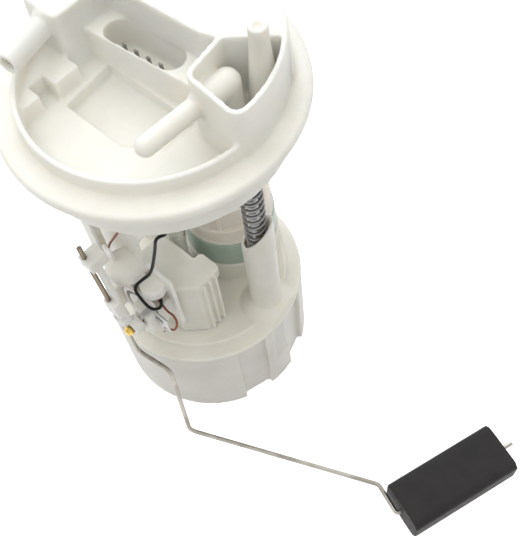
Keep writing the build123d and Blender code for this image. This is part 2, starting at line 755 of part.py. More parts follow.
def pressure_regulator():
    low = POT_TOP - REGULATOR_HEIGHT
    seat = low + REGULATOR_NOSE
    body = post(REGULATOR_RADIUS, seat, POT_TOP, REGULATOR_AT)
    body += post(REGULATOR_RADIUS - REGULATOR_NOSE_INSET, low, seat, REGULATOR_AT)
    body += post(REGULATOR_RADIUS + REGULATOR_LIP, seat, seat + REGULATOR_LIP_HEIGHT, REGULATOR_AT)
    return body


def supply_hose():
    return ring(HOSE_RADIUS, HOSE_SPIGOT_RADIUS, HOSE_BOTTOM, HOSE_TOP, HOSE_AT)


def hose_clamp(low):
    band = ring(HOSE_RADIUS + CLAMP_WALL, HOSE_RADIUS, low, low + CLAMP_WIDTH, HOSE_AT)
    reach = HOSE_RADIUS + CLAMP_WALL
    ear = block((reach - CLAMP_EAR_ROOT, reach + CLAMP_EAR_REACH),
                (-CLAMP_EAR_WIDTH / 2, CLAMP_EAR_WIDTH / 2), (low, low + CLAMP_WIDTH))
    return band + Pos(*HOSE_AT, 0) * Rot(0, 0, CLAMP_EAR_ANGLE) * ear


# ------------------------------------------------------------------ level sender
def bracket_outline(inset):
    x0, x1 = BRACKET_X[0] + inset, BRACKET_X[1] - inset
    y0, y1 = BRACKET_Y[0] + inset, BRACKET_Y[1] - inset
    cut = BRACKET_CHAMFER - inset * BRACKET_CHAMFER_LOSS
    return plan((x0, y0), (x1 - cut, y0), (x1, y0 + cut), (x1, y1), (x0, y1))


def sender_bracket():
    """Closed box welded on the lid that carries the sender."""
    low = POT_TOP + LID_THICKNESS + LID_STEP
    box = prism(bracket_outline(0), low, BRACKET_TOP)
    box = fillet(box.edges().group_by(Axis.Z)[-1], BRACKET_ROUND)
    box -= prism(bracket_outline(BRACKET_WALL), low, BRACKET_TOP - BRACKET_WALL)
    face = BRACKET_X[1]
    pitch = (BRACKET_Y[1] - BRACKET_Y[0] - BRACKET_CHAMFER) / RIB_COUNT
    for turn in range(RIB_COUNT):
        y = BRACKET_Y[1] - RIB_THICKNESS - turn * pitch
        box += block((face, face + RIB_DEPTH), (y, y + RIB_THICKNESS), (low, BRACKET_TOP - BRACKET_ROUND))
    back = BRACKET_Y[1]
    tab = block((face - TAB_WIDTH, face), (back - BRACKET_WALL, back + TAB_REACH),
                (BRACKET_TOP - TAB_DROP, BRACKET_TOP))
    outer = tab.edges().filter_by(Axis.Z).group_by(Axis.Y)[-1]
    return box + fillet(outer, TAB_ROUND)


def along_y(radius, back, front, at):
    """Round bar along Y, from a back to a front plane."""
    return Pos(at[0], back, at[1]) * Rot(90, 0, 0) * Cylinder(radius, back - front, align=UP)


def pivot_boss(gap):
    """Block that carries the pivot pin, grown all round by a gap."""
    x = (PIVOT[0] - BOSS_LEFT - gap, PIVOT[0] + BOSS_RIGHT + gap)
    z = (PIVOT[1] - BOSS_BELOW - gap, PIVOT[1] + BOSS_ABOVE + gap)
    return block(x, (HOUSING_FRONT, BRACKET_Y[0] - HOUSING_BACK_WALL), z)


def sender_housing():
    back = BRACKET_Y[0]
    wall = back - HOUSING_BACK_WALL
    side = (HOUSING_X[0], HOUSING_X[0] + HOUSING_BACK_WALL)
    shell = block(HOUSING_X, (wall, back), (HOUSING_LOW, DOME_LOW + DOME_SHELF))
    shell += block(side, (HOUSING_FRONT, back), (HOUSING_LOW, PIVOT[1] + HOUSING_SIDE_RISE))
    shell += pivot_boss(0)
    shell += block((HOUSING_X[0], PIVOT[0]), (CARD_FRONT, back),
                   (HOUSING_LOW, HOUSING_LOW + HOUSING_BACK_WALL))
    dome = post(DOME_RADIUS, DOME_LOW, DOME_TOP, DOME_AT)
    dome = fillet(dome.edges().filter_by(GeomType.CIRCLE).sort_by(Axis.Z)[-1], DOME_ROUND)
    bridge = block((DOME_AT[0] - DOME_RADIUS + 1, DOME_AT[0] + DOME_RADIUS - 1),
                   (DOME_AT[1], back), (DOME_LOW, DOME_LOW + DOME_SHELF))
    ear = post(EAR_RADIUS, EAR_LOW, EAR_TOP, EAR_AT)
    shell += bridge + dome + ear
    # Wing that rises behind the dome, and the guide that holds the red lead against it
    shell += Pos(0, back, 0) * extrude(Plane.XZ * plan(*BACK_WING), HOUSING_BACK_WALL)
    shell += block(WIRE_GUIDE_X, WIRE_GUIDE_Y, (DOME_LOW, WIRE_GUIDE_TOP))
    shell -= along_y(PIVOT_PIN_RADIUS, wall, HOUSING_FRONT, PIVOT)
    return shell


def sender_card():
    """Ceramic card with the resistor track, held in the housing."""
    return block(CARD_X, (CARD_FRONT, CARD_FRONT + CARD_THICKNESS), CARD_Z) - pivot_boss(FIT_GAP)


def card_terminals():
    """Pressed contact strips on the card's edge, where the leads are joined."""
    y = (CARD_FRONT - TERMINAL_METAL, CARD_FRONT)
    left = PIVOT[0] + BOSS_RIGHT + FIT_GAP
    strips = block((left, TERMINAL_X), y, (TERMINAL_Z[0], TERMINAL_Z[0] + TERMINAL_STRIP))
    strips += block((left, TERMINAL_X), y, (TERMINAL_Z[1] - TERMINAL_STRIP, TERMINAL_Z[1]))
    strips += block((TERMINAL_X - TERMINAL_END, TERMINAL_X), y, TERMINAL_Z)
    return strips


def pivot_pin():
    front = HOLDER_FRONT_FACE - PIN_STAND
    pin = along_y(PIVOT_PIN_RADIUS, BRACKET_Y[0] - HOUSING_BACK_WALL, front, PIVOT)
    head_back = HOLDER_FRONT_FACE - PIN_HEAD_GAP
    return pin + along_y(PIVOT_PIN_RADIUS + PIN_HEAD_LIP, head_back, front + PIN_HEAD_END, PIVOT)


# ------------------------------------------------------------------ float arm and float
def wire_x(height):
    """Where the wire's straight upper run stands at a height."""
    top, foot = ARM_ROUTE[0], ARM_ROUTE[1]
    return top[0] + (foot[0] - top[0]) * (top[2] - height) / (top[2] - foot[2])


def arm_wire():
    return tube_on(ARM_ROUTE, ARM_BENDS, ARM_WIRE_RADIUS)


def leaning(low, high, left, right, front, back):
    """Piece of the holder that leans with the wire, between offsets from its centre line."""
    corners = plan((wire_x(low) + left, low), (wire_x(low) + right, low),
                   (wire_x(high) + right, high), (wire_x(high) + left, high))
    return Pos(0, back, 0) * extrude(Plane.XZ * corners, back - front)


def arm_holder():
    """Moulded holder: a bar beside the wire, three grips across it and the pivot's hub."""
    foot = PIVOT[1] - BAR_FOOT
    bar = leaning(foot, FINGER_Z[1], BAR_LEFT, BAR_RIGHT, HOLDER_FRONT_FACE, HOLDER_BACK)
    for low, high in GRIPS:
        bar += leaning(low, high, GRIP_LEFT, BAR_RIGHT, HOLDER_FRONT, HOLDER_BACK)
    bar += leaning(*FINGER_Z, FINGER_LEFT, BAR_RIGHT, HOLDER_FRONT, FINGER_BACK)
    bar += along_y(HUB_RADIUS, HOLDER_HUB_BACK, HOLDER_FRONT_FACE, PIVOT)
    bar += leaning(foot, PIVOT[1] + HUB_WEB, BAR_LEFT, PIVOT[0] - wire_x(PIVOT[1]),
                   HOLDER_FRONT_FACE, HOLDER_BACK)
    bar -= rod_between(ARM_ROUTE[0], ARM_ROUTE[1], ARM_WIRE_RADIUS)
    bar -= along_y(PIVOT_PIN_RADIUS + PIVOT_RUNNING_FIT, HOLDER_HUB_BACK, HOLDER_FRONT, PIVOT)
    return bar


def wiper():
    """Springy fork that reads the card's track."""
    reach = WIPER_RADIUS
    y = (HOLDER_HUB_BACK, HOLDER_HUB_BACK + WIPER_THICKNESS)
    across = (-WIPER_WIDTH / 2, WIPER_WIDTH / 2)
    blade = block((HUB_RADIUS - WIPER_TIP, reach), y, across)
    tip = block((reach - WIPER_TIP, reach), (y[0], CARD_FRONT - CARD_GAP), across)
    return Pos(PIVOT[0], 0, PIVOT[1]) * Rot(0, -WIPER_ANGLE, 0) * (blade + tip)


def float_axis():
    bend = Vector(*ARM_ROUTE[-2])
    return bend, (Vector(*ARM_ROUTE[-1]) - bend).normalized()


def float_block():
    bend, heading = float_axis()
    start = bend + heading * FLOAT_END_GAP
    place = Plane(origin=start, x_dir=(heading.Y, -heading.X, 0), z_dir=heading)
    section = RectangleRounded(FLOAT_WIDTH, FLOAT_THICKNESS, FLOAT_CORNER)
    section -= Circle(ARM_WIRE_RADIUS + FLOAT_RUNNING_FIT)
    return extrude(place * section, FLOAT_LENGTH)


# ------------------------------------------------------------------ flange cover
def tall_cone(top):
    """Everything inside the cover's tapering outer wall, up to a height."""
    rise = TALL_TOP - FLANGE_TOP
    share = (top - FLANGE_TOP) / rise
    radius = TALL_FOOT_RADIUS + (TALL_TOP_RADIUS - TALL_FOOT_RADIUS) * share
    return taper(TALL_FOOT_RADIUS, radius, FLANGE_TOP, top) + post(SPIGOT_RADIUS, FLOOR_BOTTOM, FLANGE_TOP)


def left_block_outline():
    """Left block seen from above, with its inner front corner rounded."""
    outline = plan(*LEFT_BLOCK)
    inner = outline.vertices().sort_by(Axis.X)[-2:].sort_by(Axis.Y)[0]
    return fillet(inner, LEFT_BLOCK_ROUND)


def deck_outline():
    return plan(*DECK_LINE, (FLANGE_RADIUS, FLANGE_RADIUS), (-FLANGE_RADIUS, FLANGE_RADIUS))


def compartment_outline():
    room = plan(*COMPARTMENT_CORNERS) & Circle(TALL_TOP_RADIUS - TALL_WALL)
    return fillet(room.vertices().sort_by(Axis.Y)[:2], COMPARTMENT_ROUND)


def socket_place():
    return Pos(*SOCKET_AT, 0) * Rot(0, 0, SOCKET_TURN)


def nipple_place(root, turn):
    """Plane at a nipple's root, looking out along it."""
    angle = math.radians(turn - 90)
    return Plane(origin=root, z_dir=(math.cos(angle), math.sin(angle), 0))


def flange_cover():
    # Round plate, spigot that enters the tank, dish floor and front rim
    plate = post(FLANGE_RADIUS, FLANGE_TOP - FLANGE_THICKNESS, FLANGE_TOP)
    rims = plate.edges().filter_by(GeomType.CIRCLE).sort_by(Axis.Z)
    plate = fillet(rims[-1], FLANGE_EDGE)
    cover = plate + post(SPIGOT_RADIUS, SPIGOT_BOTTOM, FLANGE_TOP - FLANGE_THICKNESS)
    cover += post(RIM_RADIUS, FLANGE_TOP, RIM_TOP)
    cover -= post(RIM_RADIUS - RIM_WALL, FLOOR_TOP, RIM_TOP)
    cover -= post(SPIGOT_RADIUS - SPIGOT_WALL, SPIGOT_BOTTOM, FLOOR_BOTTOM)
    # Tall back: deck, left block, connector bar and compartment
    deck = prism(deck_outline(), FLOOR_BOTTOM, TALL_TOP) & tall_cone(TALL_TOP)
    left = prism(left_block_outline(), FLOOR_BOTTOM, LEFT_BLOCK_TOP) & tall_cone(LEFT_BLOCK_TOP)
    bar = prism(plan(*BAR), FLOOR_BOTTOM, BAR_TOP)
    room = compartment_outline()
    walls = prism(offset(room, TALL_WALL), FLOOR_BOTTOM, TALL_TOP) & tall_cone(TALL_TOP)
    cover += deck + left + bar + walls
    # Shelf at the left of the dish, with its notch
    shelf = block((-FLANGE_RADIUS, SHELF_RIGHT), (SHELF_FRONT, LEFT_BLOCK[0][1]), (FLOOR_BOTTOM, SHELF_TOP))
    shelf &= post(RIM_RADIUS - RIM_WALL, FLOOR_BOTTOM, SHELF_TOP)
    notch = block((SHELF_RIGHT - SHELF_NOTCH_DEPTH, SHELF_RIGHT), SHELF_NOTCH_Y, (FLOOR_TOP - 1, SHELF_TOP))
    cover += shelf - notch
    # Hollows from below: deck, left block and shelf
    inside = Circle(TALL_TOP_RADIUS - TALL_WALL)
    deck_hollow = offset(deck_outline() & inside, -TALL_WALL / 2)
    cover -= prism(deck_hollow, SPIGOT_BOTTOM, TALL_TOP - TALL_WALL)
    left_hollow = offset(left_block_outline() & inside, -TALL_WALL)
    cover -= prism(left_hollow, SPIGOT_BOTTOM, LEFT_BLOCK_TOP - TALL_WALL)
    # Compartment
    cover -= prism(room, COMPARTMENT_FLOOR, TALL_TOP)
    # Well in the dish
    well = plan(*WELL)
    cover += prism(offset(well, WELL_WALL), WELL_FLOOR - WELL_WALL, FLOOR_TOP)
    cover -= prism(well, WELL_FLOOR, FLOOR_TOP)
    # Connector socket
    socket = socket_place() * SlotOverall(SOCKET_LENGTH, SOCKET_WIDTH)
    cover -= prism(socket, SOCKET_FLOOR, BAR_TOP)
    for x in pin_places():
        hole = block((x - PIN_WIDTH / 2, x + PIN_WIDTH / 2), pin_band(), (FLOOR_BOTTOM, SOCKET_FLOOR))
        cover -= socket_place() * hole
    cover += vent_spigot() + fuel_nipples() + fuel_duct()
    cover -= nipple_bores()
    cover -= post(VENT_BORE, VENT_TOP - VENT_BORE_DEPTH, VENT_TOP, VENT_AT)
    # Bosses that hold the guide rods
    for at in rod_places():
        top = SHELF_TOP if at[0] < 0 else COMPARTMENT_FLOOR
        cover += post(ROD_BOSS_RADIUS, ROD_BOSS_BOTTOM, top, at)
        cover -= post(ROD_RADIUS, ROD_BOSS_BOTTOM, ROD_TOP, at)
    # Strip under the right nipple and the guide tongue under the floor
    cover += prism(plan(*STRIP), FLOOR_TOP, STRIP_TOP)
    cover += guide_tongue()
    return cover


def guide_tongue():
    """Tapering tongue that hangs from the cover beside the sender."""
    top, end = LEG_TOP_WIDTH / 2, LEG_END_WIDTH / 2
    shape = plan((LEG_X - top, FLOOR_BOTTOM), (LEG_X - end, LEG_BOTTOM), (LEG_X + end, LEG_BOTTOM),
                 (LEG_X + top, FLOOR_BOTTOM))
    back = LEG_Y + LEG_THICKNESS / 2
    blade = Pos(0, back, 0) * extrude(Plane.XZ * shape, LEG_THICKNESS)
    rib = block((LEG_X - LEG_RIB_WIDTH / 2, LEG_X + LEG_RIB_WIDTH / 2), (back, back + LEG_RIB_DEPTH),
                (LEG_BOTTOM + LEG_RIB_START, FLOOR_BOTTOM))
    return blade + rib


def vent_spigot():
    foot = VENT_TOP - VENT_STRAIGHT
    spigot = post(VENT_TOP_RADIUS, foot, VENT_TOP, VENT_AT)
    return spigot + taper(VENT_FOOT_RADIUS, VENT_TOP_RADIUS, COMPARTMENT_FLOOR, foot, VENT_AT)


def stepped_tube(radius, collar, end):
    """Tube that stands on a wider collar, drawn along Z from the wall's face."""
    tube = post(radius + NIPPLE_COLLAR_STEP, -TALL_WALL, collar)
    return tube + post(radius, collar, end)


def fuel_nipples():
    left = nipple_place(NIPPLE_1_ROOT, NIPPLE_1_TURN)
    right = nipple_place(NIPPLE_2_ROOT, NIPPLE_2_TURN)
    plain = NIPPLE_2_LENGTH - NIPPLE_2_RADIUS
    tubes = left * stepped_tube(NIPPLE_1_RADIUS, NIPPLE_1_COLLAR, NIPPLE_1_LENGTH)
    tubes += right * stepped_tube(NIPPLE_2_RADIUS, NIPPLE_2_COLLAR, plain)
    tubes += right * (Pos(0, 0, plain) * Sphere(NIPPLE_2_RADIUS))
    # Elbow inside the compartment
    far = right * Pos(0, 0, -ELBOW_LENGTH)
    end = far.position
    tubes += rod_between(end, right.origin, ELBOW_RADIUS)
    tubes += Pos(end) * Sphere(ELBOW_RADIUS)
    tubes += post(ELBOW_RADIUS, COMPARTMENT_FLOOR, end.Z, (end.X, end.Y))
    return tubes


def fuel_duct():
    """Passage under the floor, from the left nipple to the hose's spigot."""
    across = (HOSE_AT[0], HOSE_AT[1], DUCT_Z)
    corner = (DUCT_X, HOSE_AT[1], DUCT_Z)
    duct = rod_between(corner, across, DUCT_RADIUS)
    duct += rod_between(corner, (DUCT_X, HOSE_AT[1], NIPPLE_1_ROOT[2]), DUCT_RADIUS)
    duct += post(DUCT_RADIUS, DUCT_Z - DUCT_RADIUS, WELL_FLOOR - WELL_WALL, HOSE_AT)
    return duct + hose_spigot(HOSE_TOP - HOSE_SPIGOT_LENGTH, DUCT_Z)


def nipple_bores():
    left = nipple_place(NIPPLE_1_ROOT, NIPPLE_1_TURN)
    bores = left * (Pos(0, 0, -NIPPLE_1_INNER) * Cylinder(NIPPLE_1_BORE, NIPPLE_1_LENGTH + NIPPLE_1_INNER,
                                                          align=UP))
    across = (HOSE_AT[0], HOSE_AT[1], DUCT_Z)
    corner = (DUCT_X, HOSE_AT[1], DUCT_Z)
    bores += rod_between(corner, across, HOSE_SPIGOT_BORE)
    bores += rod_between(corner, (DUCT_X, HOSE_AT[1], NIPPLE_1_ROOT[2]), HOSE_SPIGOT_BORE)
    return bores + post(HOSE_SPIGOT_BORE, HOSE_TOP - HOSE_SPIGOT_LENGTH, DUCT_Z, HOSE_AT)


def pin_places():
    middle = (PIN_COUNT - 1) / 2
    return [(turn - middle) * PIN_SPACING for turn in range(PIN_COUNT)]


def pin_band():
    return (PIN_ROW_OFFSET - PIN_THICKNESS / 2, PIN_ROW_OFFSET + PIN_THICKNESS / 2)


def connector_pins():
    pins = []
    for x in pin_places():
        pins.append(socket_place() * block((x - PIN_WIDTH / 2, x + PIN_WIDTH / 2), pin_band(),
                                           (PIN_BOTTOM, PIN_TOP)))
    return Compound(pins)


def lead_plug():
    """Plug pushed on the pins under the floor."""
    half = (PIN_COUNT - 1) / 2 * PIN_SPACING + PLUG_END
    plug = block((-half, half), (PIN_ROW_OFFSET - PLUG_FRONT, PIN_ROW_OFFSET + PLUG_BACK),
                 (PLUG_BOTTOM, PLUG_TOP))
    for x in pin_places():
        plug -= block((x - PIN_WIDTH / 2, x + PIN_WIDTH / 2), pin_band(), (PIN_BOTTOM, PLUG_TOP))
    return socket_place() * plug


# ------------------------------------------------------------------ the assembly
def assembly():
    left, right = rod_places()
    wire, wire_bulk = arm_wire()
    black, black_bulk = tube_on(BLACK_ROUTE, bend_radii(BLACK_ROUTE), BLACK_LEAD_RADIUS, LEAD_SIDES)
    red, red_bulk = tube_on(RED_ROUTE, bend_radii(RED_ROUTE), RED_LEAD_RADIUS, LEAD_SIDES)
    for name, piece, bulk in (("arm wire", wire, wire_bulk), ("black lead", black, black_bulk),
                              ("red lead", red, red_bulk)):
        print(name, "volume over section by length", round(piece.volume / bulk, 4))
    print("black lead radii", [round(r, 1) for r in bend_radii(BLACK_ROUTE)])
    print("red lead radii", [round(r, 1) for r in bend_radii(RED_ROUTE)])
    return {
        "reservoir_pot": reservoir_pot(),
        "foot_valve": foot_valve(),
        "reservoir_lid": reservoir_lid(),
        "spring_left": compression_spring(left),
        "spring_right": compression_spring(right),
        "pump_can": pump_can(),
        "magnet_left": magnet(-1),
        "magnet_right": magnet(1),
        "inlet_cover": inlet_cover(),
        "pump_housing": pump_housing(),
        "impeller": impeller(),
        "pump_shaft": pump_shaft(),
        "armature": armature(),
        "commutator": commutator(),
        "brush_left": brush(1),
        "brush_right": brush(-1),
        "brush_holder": brush_holder(),
        "pump_cap": pump_cap(),
        "outlet_pipe": outlet_pipe(),
        "isolator_band": isolator_band(),
        "pump_terminals": pump_terminals(),
        "inlet_strainer": inlet_strainer(),
        "pressure_regulator": pressure_regulator(),
        "supply_hose": supply_hose(),
        "hose_clamp_lower": hose_clamp(HOSE_BOTTOM + CLAMP_INSET),
        "hose_clamp_upper": hose_clamp(HOSE_TOP - CLAMP_INSET - CLAMP_WIDTH),
        "sender_bracket": sender_bracket(),
        "sender_housing": sender_housing(),
        "sender_card": sender_card(),
        "card_terminals": card_terminals(),
        "pivot_pin": pivot_pin(),
        "arm_wire": wire,
        "arm_holder": arm_holder(),
        "wiper": wiper(),
        "float_block": float_block(),
        "flange_cover": flange_cover(),
        "guide_rod_left": guide_rod(left),
        "guide_rod_right": guide_rod(right),
        "rod_clip_left": rod_clip(left),
        "rod_clip_right": rod_clip(right),
        "connector_pins": connector_pins(),
        "lead_plug": lead_plug(),
        "lead_black": black,
        "lead_red": red,
    }


os.makedirs("parts", exist_ok=True)
for node, shape in assembly().items():
    export_step(shape, f"parts/{node}.step")
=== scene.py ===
# %% [markdown]
# # A fuel pump module, dressed in Blender
# The construction comes from a CAD model that is already packed: every piece has its true size
# and place, and it rides on a named body that a joint can move. This file never moves those
# pieces. It gives them rounded edges, finishes, light and a camera. Everything is in metres.

# %% Load the frame
import bpy
import bmesh
import json
import math
from mathutils import Matrix, Vector


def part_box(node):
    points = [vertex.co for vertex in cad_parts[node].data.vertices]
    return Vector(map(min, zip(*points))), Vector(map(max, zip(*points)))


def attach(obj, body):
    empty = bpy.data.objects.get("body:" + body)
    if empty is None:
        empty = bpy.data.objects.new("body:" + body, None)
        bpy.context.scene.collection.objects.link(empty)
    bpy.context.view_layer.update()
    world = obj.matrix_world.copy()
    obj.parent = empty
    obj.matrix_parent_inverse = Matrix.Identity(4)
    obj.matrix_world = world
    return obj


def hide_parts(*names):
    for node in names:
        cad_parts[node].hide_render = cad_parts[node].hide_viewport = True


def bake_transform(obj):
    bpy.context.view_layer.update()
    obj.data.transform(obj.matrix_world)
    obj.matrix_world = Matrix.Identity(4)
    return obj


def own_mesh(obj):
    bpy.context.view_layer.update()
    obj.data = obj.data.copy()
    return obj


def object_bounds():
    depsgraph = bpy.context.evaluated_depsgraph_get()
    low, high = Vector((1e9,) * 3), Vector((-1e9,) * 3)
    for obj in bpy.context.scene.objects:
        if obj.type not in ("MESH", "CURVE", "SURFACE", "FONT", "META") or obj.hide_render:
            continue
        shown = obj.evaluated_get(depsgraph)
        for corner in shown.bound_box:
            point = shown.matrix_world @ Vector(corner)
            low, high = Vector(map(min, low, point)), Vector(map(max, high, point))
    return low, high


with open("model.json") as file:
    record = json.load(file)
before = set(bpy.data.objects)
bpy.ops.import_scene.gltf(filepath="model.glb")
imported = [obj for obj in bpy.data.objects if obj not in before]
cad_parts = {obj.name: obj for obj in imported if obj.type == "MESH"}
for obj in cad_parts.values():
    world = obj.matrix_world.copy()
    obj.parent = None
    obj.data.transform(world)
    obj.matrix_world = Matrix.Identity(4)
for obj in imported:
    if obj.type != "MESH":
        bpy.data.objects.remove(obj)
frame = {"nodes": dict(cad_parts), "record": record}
cad_low, cad_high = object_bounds()
MM = 0.001
nodes = frame["nodes"]
print("nodes", len(nodes), "size", [round(v, 4) for v in cad_high - cad_low])

# %% [markdown]
# ## The camera
# A camera can be placed by eye, but the view comes out the same every time when its place, two
# of its directions and its lens are written as numbers. These describe a short telephoto lens
# that looks steeply down over the level sender.

# %% The camera
LENS_MM = 56.93
SENSOR_MM = 36.0
NEAR_CLIP = 0.01
EYE = Vector((194.5, -123.0, 445.3)) * MM
RIGHT = Vector((0.7368, 0.6717, -0.0771)).normalized()
FORWARD = Vector((-0.3848, 0.3228, -0.8647)).normalized()


def make_camera():
    data = bpy.data.cameras.new("camera")
    data.lens = LENS_MM
    data.sensor_width = SENSOR_MM
    data.sensor_fit = "AUTO"
    data.clip_start = NEAR_CLIP
    camera = bpy.data.objects.new("camera", data)
    bpy.context.collection.objects.link(camera)
    up = RIGHT.cross(FORWARD)
    turn = Matrix((RIGHT, up, -FORWARD)).transposed().to_4x4()
    camera.matrix_world = Matrix.Translation(EYE) @ turn
    bpy.context.scene.camera = camera
    print("camera", [round(v, 3) for v in EYE], "lens", LENS_MM)


make_camera()

# %% [markdown]
# ## Small tools for materials
# Every finish below is a small network of nodes. Written out in full, each would be thirty
# lines of sockets, so these helpers make one node and wire it in a single call. All textures
# read the Object coordinates: the pieces have no UV maps, and their place is in their mesh.

# %% Node helpers
def new_material(name):
    """A material, its node tree and its Principled shader."""
    material = bpy.data.materials.new(name)
    material.use_nodes = True
    tree = material.node_tree
    return material, tree, tree.nodes["Principled BSDF"]


def wire(tree, source, target):
    tree.links.new(source, target)


def coordinates(tree, stretch=(1, 1, 1)):
    """Object coordinates, stretched along an axis where a finish has a direction."""
    place = tree.nodes.new("ShaderNodeTexCoord")
    mapping = tree.nodes.new("ShaderNodeMapping")
    mapping.inputs["Scale"].default_value = stretch
    wire(tree, place.outputs["Object"], mapping.inputs["Vector"])
    return mapping.outputs["Vector"]


def cloud(tree, where, scale, detail=3.0, rough=0.5):
    """Soft noise, with scale in lumps for each metre."""
    node = tree.nodes.new("ShaderNodeTexNoise")
    node.inputs["Scale"].default_value = scale
    node.inputs["Detail"].default_value = detail
    node.inputs["Roughness"].default_value = rough
    wire(tree, where, node.inputs["Vector"])
    return node.outputs["Fac"]


def ramp(tree, value, *stops):
    """Colour or grey picked by a value: stops are (position, colour)."""
    node = tree.nodes.new("ShaderNodeValToRGB")
    entries = node.color_ramp.elements
    while len(entries) < len(stops):
        entries.new(0.5)
    for entry, (position, colour) in zip(entries, stops):
        entry.position = position
        entry.color = (*colour, 1.0) if len(colour) == 3 else colour
    wire(tree, value, node.inputs["Fac"])
    return node.outputs["Color"]


def grey(value):
    return (value, value, value)


def blended(tree, share, first, second, mode="MIX"):
    """Mix of two colours. A share may be a number or a socket."""
    node = tree.nodes.new("ShaderNodeMix")
    node.data_type = "RGBA"
    node.blend_type = mode
    for value, socket in ((share, node.inputs[0]), (first, node.inputs[6]), (second, node.inputs[7])):
        if isinstance(value, bpy.types.NodeSocket):
            wire(tree, value, socket)
        elif isinstance(value, (int, float)):
            socket.default_value = value
        else:
            socket.default_value = (*value, 1.0)
    return node.outputs[2]


def bump(tree, shader, height, strength, distance):
    """Relief on the shader's normal. Distance is the relief's depth in metres."""
    node = tree.nodes.new("ShaderNodeBump")
    node.inputs["Strength"].default_value = strength
    node.inputs["Distance"].default_value = distance
    wire(tree, height, node.inputs["Height"])
    earlier = shader.inputs["Normal"].links
    if earlier:
        wire(tree, earlier[0].from_socket, node.inputs["Normal"])
    wire(tree, node.outputs["Normal"], shader.inputs["Normal"])


def edge_wear_and_painted_glow(tree, low=0.48, high=0.56):
    """How sharply the mesh bends outwards: a mask for rubbed wear on metal and painted edge light on
    acetal.
    """
    geometry = tree.nodes.new("ShaderNodeNewGeometry")
    return ramp(tree, geometry.outputs["Pointiness"], (low, grey(0)), (high, grey(1)))

# %% [markdown]
# ## Natural acetal
# Nearly everything white on a fuel module is acetal, moulded without pigment. It isn't paper
# white: light goes a few millimetres in and comes out warmer, edges glow a little, and the
# surface is satin from the mould's fine spark texture. A plain white shader looks like plaster,
# so this one uses subsurface scattering with a short radius, two close tones for the way the
# melt flowed, and relief at two scales: the texture of the mould and faint sinks over ribs. The
# edges' glow is painted light: a paler colour laid on wherever the mesh bends sharply outwards.

# %% The acetal family
ACETAL_IOR = 1.48
# How far red, green and blue light go in, against each other.
LIGHT_REACH = (1.0, 0.85, 0.65)
# The paler colour painted onto the acetal's sharp edges, standing in for light glowing out of them.
PAINTED_EDGE_LIGHT = (1.0, 0.99, 0.95)
FLOW_SCALE = 38
SATIN_SCALE = 160
SPARK_SCALE = 2600
SINK_DEPTH = 0.25 * MM
SPARK_DEPTH = 0.03 * MM


def acetal(name, tone, shade, rough=0.38, depth=0.006, glow=0.08, weight=0.55):
    material, tree, shader = new_material(name)
    where = coordinates(tree)
    flow = cloud(tree, where, FLOW_SCALE, 4, 0.55)
    body = ramp(tree, flow, (0.35, shade), (0.62, tone))
    grain = cloud(tree, where, SPARK_SCALE, 2, 0.6)
    speck = ramp(tree, grain, (0.30, grey(0.965)), (0.60, grey(1.0)))
    body = blended(tree, 1.0, body, speck, "MULTIPLY")
    # Painted light: a paler colour screened onto the base colour, as much as glow says, wherever the mesh
    # bends sharply outwards.
    painted_glow_colour = blended(tree, glow, body, PAINTED_EDGE_LIGHT, "SCREEN")
    body = blended(tree, edge_wear_and_painted_glow(tree), body, painted_glow_colour)
    wire(tree, body, shader.inputs["Base Color"])
    patches = cloud(tree, where, SATIN_SCALE, 3)
    satin = ramp(tree, patches, (0.3, grey(rough - 0.05)), (0.7, grey(rough + 0.07)))
    wire(tree, satin, shader.inputs["Roughness"])
    shader.inputs["Subsurface Weight"].default_value = weight
    shader.inputs["Subsurface Radius"].default_value = LIGHT_REACH
    shader.inputs["Subsurface Scale"].default_value = depth
    shader.inputs["IOR"].default_value = ACETAL_IOR
    bump(tree, shader, flow, 0.25, SINK_DEPTH)
    bump(tree, shader, grain, 0.22, SPARK_DEPTH)
    return material


finish = {
    "cover_plastic": acetal("ivory_acetal", (0.86, 0.85, 0.80), (0.80, 0.79, 0.735)),
    "lid_plastic": acetal("natural_acetal", (0.82, 0.80, 0.725), (0.75, 0.73, 0.655), depth=0.004),
    "pot_plastic": acetal("thin_acetal", (0.74, 0.72, 0.67), (0.67, 0.65, 0.60), rough=0.40, depth=0.004),
    "cap_plastic": acetal("cream_nylon", (0.83, 0.79, 0.71), (0.77, 0.73, 0.65), rough=0.48, depth=0.002),
    "plug_plastic": acetal("plug_nylon", (0.66, 0.65, 0.61), (0.60, 0.59, 0.55), rough=0.45),
}
print("acetal finishes", sorted(finish))

# %% [markdown]
# ## The resistor card
# The card is white alumina with three printed arcs of the usual kind: a dark resistor, a brown
# one and a grey conductor. All are centred on the arm's pivot, where the wiper's fork runs. They
# come from the distance to the pivot's axis, so they need no image and stay sharp at any size.

# %% The printed card
PIVOT_AXIS = Vector((12.6, 0.0, 92.0)) * MM
CARD_REACH_MM = 30
CARD_ROUGHNESS = 0.5
CARD_GRAIN_SCALE = 900
CARD_GRAIN_DEPTH = 0.03 * MM
ALUMINA = (0.78, 0.77, 0.74)
# Each track: its inner and outer radius in mm, and its colour.
TRACKS = (
    (12.2, 14.4, (0.10, 0.080, 0.070)),
    (16.6, 17.4, (0.40, 0.24, 0.17)),
    (19.8, 20.8, (0.30, 0.29, 0.28)),
)


